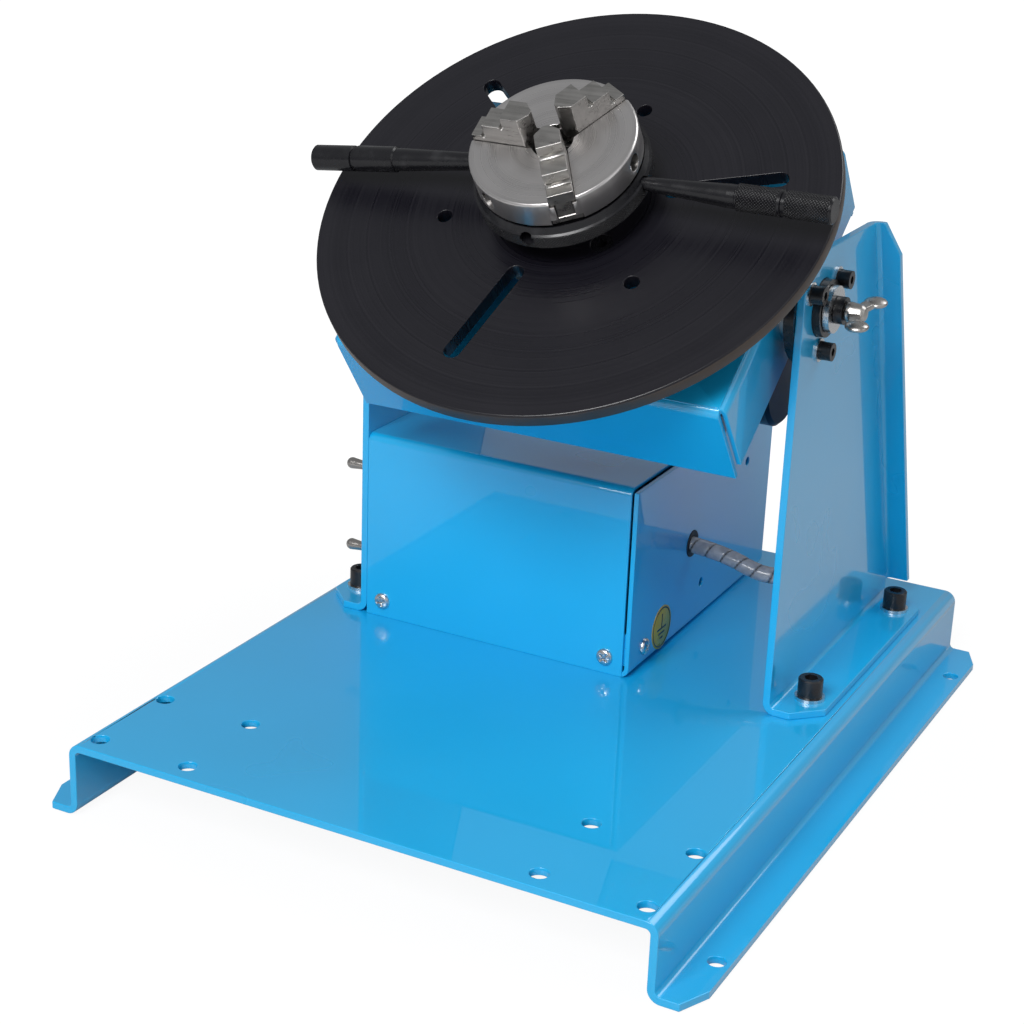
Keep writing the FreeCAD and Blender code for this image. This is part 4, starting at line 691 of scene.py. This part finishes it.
@dataclass
class Cable:
    """Motor cable in a grey spiral wrap, from the box to the motor."""

    radius: float = 3.5
    route: tuple[Point, ...] = (
        (18.0, 58.9, 69.4),
        (44.0, 58.9, 69.4),
        (70.0, 56.9, 61.4),
        (83.0, 65.9, 67.9),
        (84.0, 77.9, 87.9),
        (80.0, 86.9, 114.9),
        (73.0, 87.9, 142.9),
    )
    motor_boss: Point = (71.0, 7.217, -48.376)
    straight: float = 18.0
    ring_step: float = 0.4
    wrap_pitch: float = 7.2
    cut_share: float = 0.055
    cut_depth: float = 0.5
    ring_sides: int = 28

    def points(self) -> list[Vector]:
        """Return the route's points in the row frame, in metres."""
        boss = tray_matrix() @ (Vector(self.motor_boss) * MM)
        away = boss + Vector((0.0, self.straight * MM, 0.0))
        listed = [Vector(point) * MM for point in self.route]
        return listed + [away, boss]

    def line(self) -> list[Vector]:
        """Return points along the smooth line through the route."""
        curve = bpy.data.curves.new("cable_line", "CURVE")
        curve.dimensions = "3D"
        spline = curve.splines.new("NURBS")
        points = self.points()
        spline.points.add(len(points) - 1)
        for handle, point in zip(spline.points, points):
            handle.co = (*point, 1.0)
        spline.order_u = 3
        spline.use_endpoint_u = True
        spline.resolution_u = 60
        holder = bpy.data.objects.new("cable_line", curve)
        bpy.context.collection.objects.link(holder)
        bpy.context.view_layer.update()
        mesh = bpy.data.meshes.new_from_object(holder)
        line = [vert.co.copy() for vert in mesh.vertices]
        bpy.data.objects.remove(holder)
        bpy.data.meshes.remove(mesh)
        bpy.data.curves.remove(curve)
        return line

    def stations(self, line: Sequence[Vector]) -> list[tuple[Vector, float]]:
        """Return evenly spaced points of a line with their distance along it."""
        lengths = [0.0]
        for before, after in zip(line, line[1:]):
            lengths.append(lengths[-1] + (after - before).length)
        count = round(lengths[-1] / (self.ring_step * MM))
        found = []
        index = 0
        for step in range(count + 1):
            reach = lengths[-1] * step / count
            while index < len(line) - 2 and lengths[index + 1] < reach:
                index += 1
            share = (reach - lengths[index]) / (lengths[index + 1] - lengths[index])
            found.append((line[index].lerp(line[index + 1], min(max(share, 0.0), 1.0)), reach))
        return found

    def build(self, machine: Machine) -> bpy.types.Object:
        """Build the wrapped cable.

        Args:
            machine: The machine it belongs to; not used.

        Returns:
            The cable.
        """
        line = self.line()
        stations = self.stations(line)
        mesh = bmesh.new()
        shade = mesh.verts.layers.float.new("wrap_cut")
        rings: list[list[bmesh.types.BMVert]] = []
        side = Vector((0.0, 0.0, 1.0))
        for index, (centre, reach) in enumerate(stations):
            ahead = stations[min(index + 1, len(stations) - 1)][0]
            behind = stations[max(index - 1, 0)][0]
            along = (ahead - behind).normalized()
            side = (side - along * side.dot(along)).normalized()
            across = along.cross(side)
            ring = bmesh.ops.create_circle(
                mesh, cap_ends=False, radius=self.radius * MM, segments=self.ring_sides
            )["verts"]
            for number, vert in enumerate(ring):
                angle = 2 * math.pi * number / self.ring_sides
                phase = (reach / (self.wrap_pitch * MM) + angle / (2 * math.pi)) % 1.0
                cut = min(max(0.0, 1.0 - abs(phase - 0.5) / self.cut_share) * 2.0, 1.0)
                radius = (self.radius - self.cut_depth * cut) * MM
                vert.co = centre + (side * math.cos(angle) + across * math.sin(angle)) * radius
                vert[shade] = cut
            rings.append(ring)
        for first, second in zip(rings, rings[1:]):
            edges = [mesh.edges.get((a, b)) for a, b in zip(first, first[1:] + first[:1])]
            more = [mesh.edges.get((a, b)) for a, b in zip(second, second[1:] + second[:1])]
            bmesh.ops.bridge_loops(mesh, edges=edges + more)
        for ring in (rings[0], rings[-1]):
            bmesh.ops.contextual_create(mesh, geom=ring)
        cable = finish_mesh("spiral_wrapped_cable", mesh, [self.material()], 60.0)
        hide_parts("motor_cable")
        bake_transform(cable)
        return cable

    def material(self) -> bpy.types.Material:
        """Return translucent grey wrap with dark cuts between its turns."""
        board = Board("spiral_wrap")
        cut = board.node("ShaderNodeAttribute", {"attribute_name": "wrap_cut"}, output="Fac")
        cloud = board.noise(board.place(), 300.0, 2.0)
        tone = board.blend(cloud.spread(0.3, 0.7), (0.24, 0.255, 0.285), (0.33, 0.35, 0.385))
        return board.surface(
            Base_Color=board.blend(cut, tone, (0.015, 0.015, 0.017)),
            Roughness=cut.spread(0.0, 1.0, 0.18, 0.6),
            Normal=board.bump(cloud, 0.08, 0.0002),
        )


def bar(mesh: bmesh.types.BMesh, size: Point, matrix: Matrix) -> None:
    """Add a box.

    Args:
        mesh: The bmesh to add to.
        size: Its sides, in millimetres.
        matrix: Where its centre and axes are.
    """
    scale = Matrix.Diagonal((size[0] * MM, size[1] * MM, size[2] * MM, 1.0))
    bmesh.ops.create_cube(mesh, size=1.0, matrix=matrix @ scale)


def facing(centre: Point, out: Point) -> Matrix:
    """Return a matrix whose Z looks out of a face.

    Args:
        centre: Point on the face, in millimetres.
        out: Direction out of it.

    Returns:
        The matrix, in metres.
    """
    turn = Vector(out).to_track_quat("Z", "Y")
    return Matrix.LocRotScale(Vector(centre) * MM, turn, None)


def baked(piece: bpy.types.Object) -> None:
    """Turn a new piece's modifiers into its own mesh."""
    graph = bpy.context.evaluated_depsgraph_get()
    data = bpy.data.meshes.new_from_object(piece.evaluated_get(graph))
    piece.modifiers.clear()
    piece.data = data


def carved(piece: bpy.types.Object, cutter: bpy.types.Object) -> None:
    """Cut one new piece out of another and remove the cutter."""
    cut = piece.modifiers.new("cut", "BOOLEAN")
    cut.operation = "DIFFERENCE"
    cut.solver = "EXACT"
    cut.use_self = True
    cut.object = cutter
    baked(piece)
    bpy.data.objects.remove(cutter)


def recast(piece: bpy.types.Object, voxel: float, passes: int) -> None:
    """Melt the solids of a new piece into one rounded casting.

    Args:
        piece: The piece.
        voxel: Size of the rounding grid, in millimetres.
        passes: Smoothing passes.
    """
    grid = piece.modifiers.new("grid", "REMESH")
    grid.mode = "VOXEL"
    grid.voxel_size = voxel * MM
    grid.use_smooth_shade = True
    flow = piece.modifiers.new("flow", "SMOOTH")
    flow.factor = 0.5
    flow.iterations = passes
    baked(piece)


@dataclass
class PanScrews:
    """Domed cross-recess screws that stand for one node of the frame."""

    node: str
    seats: tuple[tuple[Point, Point], ...]
    shank: float
    turn_deg: float = 20.0
    turn_step_deg: float = 31.0
    shank_radius: float = 2.0
    head_radius: float = 3.5
    head_height: float = 1.8
    dome: tuple[tuple[float, float], ...] = ((1.0, 0.3), (0.93, 0.62), (0.74, 0.86), (0.4, 0.97))
    cross: Point = (1.15, 0.25, 1.1)

    def build(self) -> None:
        """Build the screws."""
        r, h = self.head_radius, self.head_height
        stem = [(0.0, -self.shank), (self.shank_radius, -self.shank), (self.shank_radius, 0.0)]
        crown = [(width * r, rise * h) for width, rise in self.dome]
        profile = [*stem, (r, 0.0), *crown, (0.0, h)]
        recess = (self.cross[0] * r, self.cross[1] * r, self.cross[2] * h)
        heads = bmesh.new()
        crosses = bmesh.new()
        for index, (centre, out) in enumerate(self.seats):
            place = facing(centre, out)
            spun(heads, [(a * MM, b * MM) for a, b in profile], place, 32)
            for quarter in (0, 1):
                angle = math.radians(self.turn_deg + self.turn_step_deg * index + 90.0 * quarter)
                top = Matrix.Translation((0.0, 0.0, h * MM))
                bar(crosses, recess, place @ top @ Matrix.Rotation(angle, 4, "Z"))
        metal = PAINTBOX.get(Finish.ZINC)
        piece = finish_mesh(self.node + "_pan_heads", heads, [metal])
        cutter = finish_mesh(self.node + "_cutter", crosses, [PAINTBOX.get(Finish.SHADE)])
        carved(piece, cutter)
        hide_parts(self.node)
        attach(piece, "base")


@dataclass
class WingCasting:
    """Cast wing screw with rounded pads, standing for its node."""

    start: Point = (103.6, 19.9, 190.7)
    turn_deg: float = 13.0
    hub: tuple[tuple[float, float], ...] = (
        (0.0, -23.0),
        (3.0, -23.0),
        (3.0, 0.0),
        (3.9, 0.2),
        (3.9, 1.8),
        (3.3, 6.2),
        (2.4, 7.6),
        (0.0, 7.9),
    )
    pad: Point = (4.6, 4.0, 1.7)
    pad_place: tuple[float, float] = (7.6, 10.2)
    neck: Point = (4.6, 8.0, 2.2)
    neck_place: tuple[float, float] = (4.9, 5.0)
    neck_lean_deg: float = 22.0
    voxel: float = 0.26
    passes: int = 7

    def build(self) -> None:
        """Build the screw: a spun hub and stem, with two pads on leaning necks."""
        centre = Matrix.Translation(Vector(self.start) * MM)
        frame = centre @ Matrix.Rotation(math.radians(self.turn_deg), 4, "X")
        along = frame @ Matrix.Rotation(math.radians(90.0), 4, "Y")
        mesh = bmesh.new()
        spun(mesh, [(a * MM, b * MM) for a, b in self.hub], along, 40)
        for side in (-1, 1):
            middle = Vector((self.pad_place[0], side * self.pad_place[1], 0.0)) * MM
            scale = Matrix.Diagonal((*(part * MM for part in self.pad), 1.0))
            place = frame @ Matrix.Translation(middle) @ scale
            bmesh.ops.create_uvsphere(mesh, u_segments=32, v_segments=20, radius=1.0, matrix=place)
            root = Vector((self.neck_place[0], side * self.neck_place[1], 0.0)) * MM
            lean = Matrix.Rotation(math.radians(-side * self.neck_lean_deg), 4, "Z")
            bar(mesh, self.neck, frame @ Matrix.Translation(root) @ lean)
        piece = finish_mesh("wing_casting", mesh, [PAINTBOX.get(Finish.STAINLESS)])
        recast(piece, self.voxel, self.passes)
        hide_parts("wing_screw")
        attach(piece, "wing")


@dataclass
class EarthLabel:
    """Plain yellow disc with the generic earth symbol, on the side of the box."""

    centre: Point = (BOX_RIGHT_X, 31.3, 41.4)
    radius: float = 9.5
    thickness: float = 0.16
    edge: float = 0.1
    ink: float = 0.05
    border: tuple[float, float] = (1.3, 0.7)
    strokes: tuple[tuple[float, float, float], ...] = (
        (2.7, 0.8, 6.4),
        (-0.5, 9.0, 0.8),
        (-2.6, 6.0, 0.8),
        (-4.7, 3.0, 0.8),
    )

    def build(self) -> None:
        """Build the disc, its border ring and the symbol's (height, width, length) strokes."""
        place = facing(self.centre, (1.0, 0.0, 0.0))
        disc = bmesh.new()
        r, t = self.radius * MM, self.thickness * MM
        spun(disc, [(0.0, 0.0), (r, 0.0), (r, t * 0.7), (r - self.edge * MM, t), (0.0, t)], place, 72)
        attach(finish_mesh("earth_label", disc, [PAINTBOX.get(Finish.STICKER)]), "base")
        symbol = bmesh.new()
        top = self.thickness + self.ink
        inner, outer = ((self.radius - inset) * MM for inset in self.border)
        low, high = t * 0.5, top * MM
        section = [(inner, low), (outer, low), (outer, high), (inner, high)]
        spun(symbol, section, place, 72, closed=True)
        x = self.centre[0] + top / 2
        for rise, width, height in self.strokes:
            point = Vector((x, self.centre[1], self.centre[2] + rise)) * MM
            bar(symbol, (top, width, height), Matrix.Translation(point))
        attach(finish_mesh("earth_symbol", symbol, [PAINTBOX.get(Finish.INK)]), "base")


@dataclass
class Studio:
    """Pale floor, white surround, soft lamps and the main camera."""

    place: Point = (0.343943, -0.710918, 0.395540)
    look: Point = (-0.426794, 0.831229, -0.356237)
    roll_deg: float = 2.237
    lens: float = 74.212
    shift: tuple[float, float] = (-0.00315, 0.0003)
    fill: float = 0.3
    mirror: float = 0.3
    aim: Point = (0.0, 0.0, 0.12)
    floor_size: float = 6.0
    floor_drop: float = 0.0005
    floor_glow: float = 1.08
    shadow_reach: tuple[float, float] = (0.16, 0.4)
    shadow_share: float = 0.86

    def camera(self) -> None:
        """Make the camera."""
        data = bpy.data.cameras.new("main_camera")
        data.lens = self.lens
        data.sensor_width = 36.0
        data.shift_x, data.shift_y = self.shift
        data.clip_start = 0.02
        data.clip_end = 50.0
        camera = bpy.data.objects.new("main_camera", data)
        bpy.context.collection.objects.link(camera)
        roll = Quaternion((0, 0, 1), math.radians(self.roll_deg))
        turn = Vector(self.look).to_track_quat("-Z", "Y") @ roll
        camera.matrix_world = Matrix.LocRotScale(Vector(self.place), turn, None)
        bpy.context.scene.camera = camera

    def lamp(self, name: str, place: Point, size: tuple[float, float], watts: float) -> None:
        """Make one soft rectangular lamp that faces the machine.

        Args:
            name: Its name.
            place: Where it is, in metres.
            size: Its two sides, in metres.
            watts: Its power.
        """
        data = bpy.data.lights.new(name, "AREA")
        data.shape = "RECTANGLE"
        data.size, data.size_y = size
        data.energy = watts
        lamp = bpy.data.objects.new(name, data)
        bpy.context.collection.objects.link(lamp)
        direction = Vector(self.aim) - Vector(place)
        lamp.matrix_world = Matrix.LocRotScale(Vector(place), direction.to_track_quat("-Z", "Y"), None)

    def surround(self) -> None:
        """Make the white surround, plain for the camera and softer as light."""
        world = bpy.data.worlds.new("studio")
        bpy.context.scene.world = world
        world.use_nodes = True
        tree = world.node_tree
        tree.nodes.clear()
        path = tree.nodes.new("ShaderNodeLightPath")
        seen = tree.nodes.new("ShaderNodeMath")
        seen.operation = "MAXIMUM"
        tree.links.new(path.outputs["Is Camera Ray"], seen.inputs[0])
        tree.links.new(path.outputs["Is Transmission Ray"], seen.inputs[1])
        plain = tree.nodes.new("ShaderNodeBackground")
        plain.inputs["Color"].default_value = (1.0, 1.0, 1.0, 1.0)
        plain.inputs["Strength"].default_value = 1.0
        fill = tree.nodes.new("ShaderNodeBackground")
        fill.inputs["Color"].default_value = (self.fill, self.fill * 1.02, self.fill * 1.05, 1.0)
        mirror = tree.nodes.new("ShaderNodeBackground")
        mirror.inputs["Color"].default_value = (self.mirror, self.mirror * 1.02, self.mirror * 1.04, 1.0)
        soft = tree.nodes.new("ShaderNodeMixShader")
        tree.links.new(path.outputs["Is Glossy Ray"], soft.inputs["Fac"])
        tree.links.new(fill.outputs[0], soft.inputs[1])
        tree.links.new(mirror.outputs[0], soft.inputs[2])
        mixed = tree.nodes.new("ShaderNodeMixShader")
        tree.links.new(seen.outputs[0], mixed.inputs["Fac"])
        tree.links.new(soft.outputs[0], mixed.inputs[1])
        tree.links.new(plain.outputs[0], mixed.inputs[2])
        end = tree.nodes.new("ShaderNodeOutputWorld")
        tree.links.new(mixed.outputs[0], end.inputs["Surface"])

    def floor(self) -> None:
        """Make the pale floor, white to the camera away from shadows."""
        mesh = bmesh.new()
        bmesh.ops.create_grid(mesh, x_segments=1, y_segments=1, size=self.floor_size)
        bmesh.ops.translate(mesh, verts=mesh.verts[:], vec=(0.0, 0.0, -self.floor_drop))
        board = Board("floor_paper")
        cloud = board.noise(board.place(), 3.0, 2.0)
        paper = board.node(
            "ShaderNodeBsdfDiffuse",
            {},
            {"Color": board.blend(cloud.spread(0.3, 0.7), (0.54, 0.54, 0.54), (0.58, 0.58, 0.58))},
        )
        glow = board.node(
            "ShaderNodeEmission", {}, {"Color": (1.0, 1.0, 1.0, 1.0), "Strength": self.floor_glow}
        )
        path = board.node("ShaderNodeLightPath", output="Is Camera Ray")
        x, y, _ = board.parts(board.place())
        reach = (x * x + y * y).power(0.5)
        share = path * reach.spread(*self.shadow_reach, self.shadow_share, 1.0)
        mixed = board.node("ShaderNodeMixShader", {}, {0: share, 1: paper, 2: glow})
        board.close(mixed)
        floor = finish_mesh("studio_floor", mesh, [board.material])

    def build(self) -> None:
        """Make the whole studio."""
        bpy.context.scene.view_settings.view_transform = "Standard"
        self.camera()
        self.surround()
        self.floor()
        self.lamp("key_lamp", (0.0, -1.65, 1.4), (0.9, 0.9), 38.0)
        self.lamp("side_lamp", (1.5, -0.4, 0.9), (0.7, 1.1), 2.0)
        self.lamp("back_lamp", (0.8, 0.9, 1.5), (0.9, 0.9), 8.0)


@dataclass
class Dressing:
    """Finishes of the frame's nodes."""

    machine: Machine
    slot_radius: float = 31.2
    slot_height: float = 71.0
    rim_radius: float = 101.0

    def build(self) -> None:
        """Dress every node."""
        dress = self.machine.dress
        dress(SHEETS, Finish.PAINT)
        dress(
            (
                "foot_bolts",
                "spring_washers",
                "pivot_flange_screws",
                "left_pivot_housing",
                "right_pivot_housing",
                "clamp_collar",
                "housing_screws",
                "bracket_screws",
                "spindle_nut",
                "chuck_base",
                "chuck_screws",
                "table_screws",
            ),
            Finish.OXIDE,
        )
        dress(
            (
                "flat_washers",
                "foot_nuts",
                "cover_clips",
                "cover_screws",
                "earth_screw",
                "toggle_bodies",
                "toggle_nuts",
                "speed_potentiometer",
                "pedal_socket",
                "power_inlet",
                "clamp_washers",
                "retaining_screw",
                "motor_bracket",
                "brush_holder",
            ),
            Finish.ZINC,
        )
        dress(("power_lever", "direction_lever"), Finish.CHROME)
        dress(("wing_screw", "left_pivot_shaft", "right_pivot_shaft"), Finish.STAINLESS)
        dress(("power_supply", "speed_controller", "bearing_housing", "gearbox"), Finish.ALUMINIUM)
        dress(("speed_knob",), Finish.PLASTIC)
        dress(("cable_grommet", "motor_cable"), Finish.RUBBER)
        dress(("pivot_bushes",), Finish.BRONZE)
        dress(("friction_washers", "brush"), Finish.CARBON)
        dress(("motor",), Finish.MOTOR)
        dress(("turntable_disc",), Finish.DISC)
        dress(("table_spindle", "spindle_bearings"), Finish.SPINDLE)
        dress(("chuck_body",), Finish.FACE)
        dress(("driven_gear", "drive_pinion", "brush_spring"), Finish.GEAR)
        dress(JAWS, Finish.JAW)
        self.knurled()
        self.zones()
        self.edges()

    def zone(self, name: str, finish: Finish, belongs: Callable[[Vector, Vector], bool]) -> None:
        """Give part of a node a second finish.

        Args:
            name: The node.
            finish: The second finish.
            belongs: Says whether a face is in the zone, from its centre in
                millimetres and its normal, both in the tray's axes.
        """
        node = self.machine.nodes[name]
        node.data.materials.append(PAINTBOX.get(finish))
        back = tray_matrix().inverted() @ node.matrix_world
        turn = back.to_3x3()
        for face in node.data.polygons:
            if belongs(back @ face.center / MM, turn @ face.normal):
                face.material_index = 1

    def zones(self) -> None:
        """Paint shade into the chuck's jaw slots and bore as darker steel, and brown the disc's rim."""

        def in_slot(centre: Vector, normal: Vector) -> bool:
            """Say whether a face is a wall or floor cut into the chuck."""
            inner = math.hypot(centre.x, centre.y) < self.slot_radius and abs(normal.z) < 0.7
            return inner or (centre.z < self.slot_height and abs(normal.z) > 0.7)

        def on_rim(centre: Vector, normal: Vector) -> bool:
            """Say whether a face is on the outer edge of the disc."""
            return math.hypot(centre.x, centre.y) > self.rim_radius and abs(normal.z) < 0.5

        # The slot walls and floors take the darker steel as painted shade.
        self.zone("chuck_body", Finish.SLOT_SHADE, in_slot)
        self.zone("turntable_disc", Finish.RIM, on_rim)

    def edges(self) -> None:
        """Break the sharp edges that catch light."""
        self.machine.soften(SHEETS, 0.35, 3)
        self.machine.soften(JAWS, 0.22)
        self.machine.soften(("turntable_disc", "chuck_body"), 0.25)

    def knurled(self) -> None:
        """Dress the knurled ring and bars."""
        ring = KnurledSteel("knurled_ring", tray_matrix(), 34.0, (51.3, 56.6))
        self.machine.dress(("scroll_ring",), ring)
        level = Matrix.Translation((0.0, 0.0, 55.3 * MM))
        along = Matrix.Rotation(math.radians(90.0), 4, "Y")
        bars = KnurledSteel("knurled_bars", tray_matrix() @ level @ along, 5.0, (71.0, 86.6), (89.0, 106.0))
        self.machine.dress(("lever_bars",), bars)


def main() -> None:
    """Build the whole scene."""
    logging.basicConfig(level=logging.INFO, format="%(name)s: %(message)s")
    machine = Machine()
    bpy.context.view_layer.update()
    Studio().build()
    Dressing(machine).build()
    Cable().build(machine)
    front = [((x, 0.0, COVER_SCREW_Z), (0.0, -1.0, 0.0)) for x in COVER_SCREW_X]
    rear = [((x, BOX_REAR_Y, COVER_SCREW_Z), (0.0, 1.0, 0.0)) for x in COVER_SCREW_X]
    PanScrews("cover_screws", tuple(front + rear), shank=5.5).build()
    PanScrews("earth_screw", ((EARTH_SCREW, (1.0, 0.0, 0.0)),), shank=6.0, turn_deg=35.0).build()
    EarthLabel().build()
    WingCasting().build()


if __name__ == "__main__":
    main()
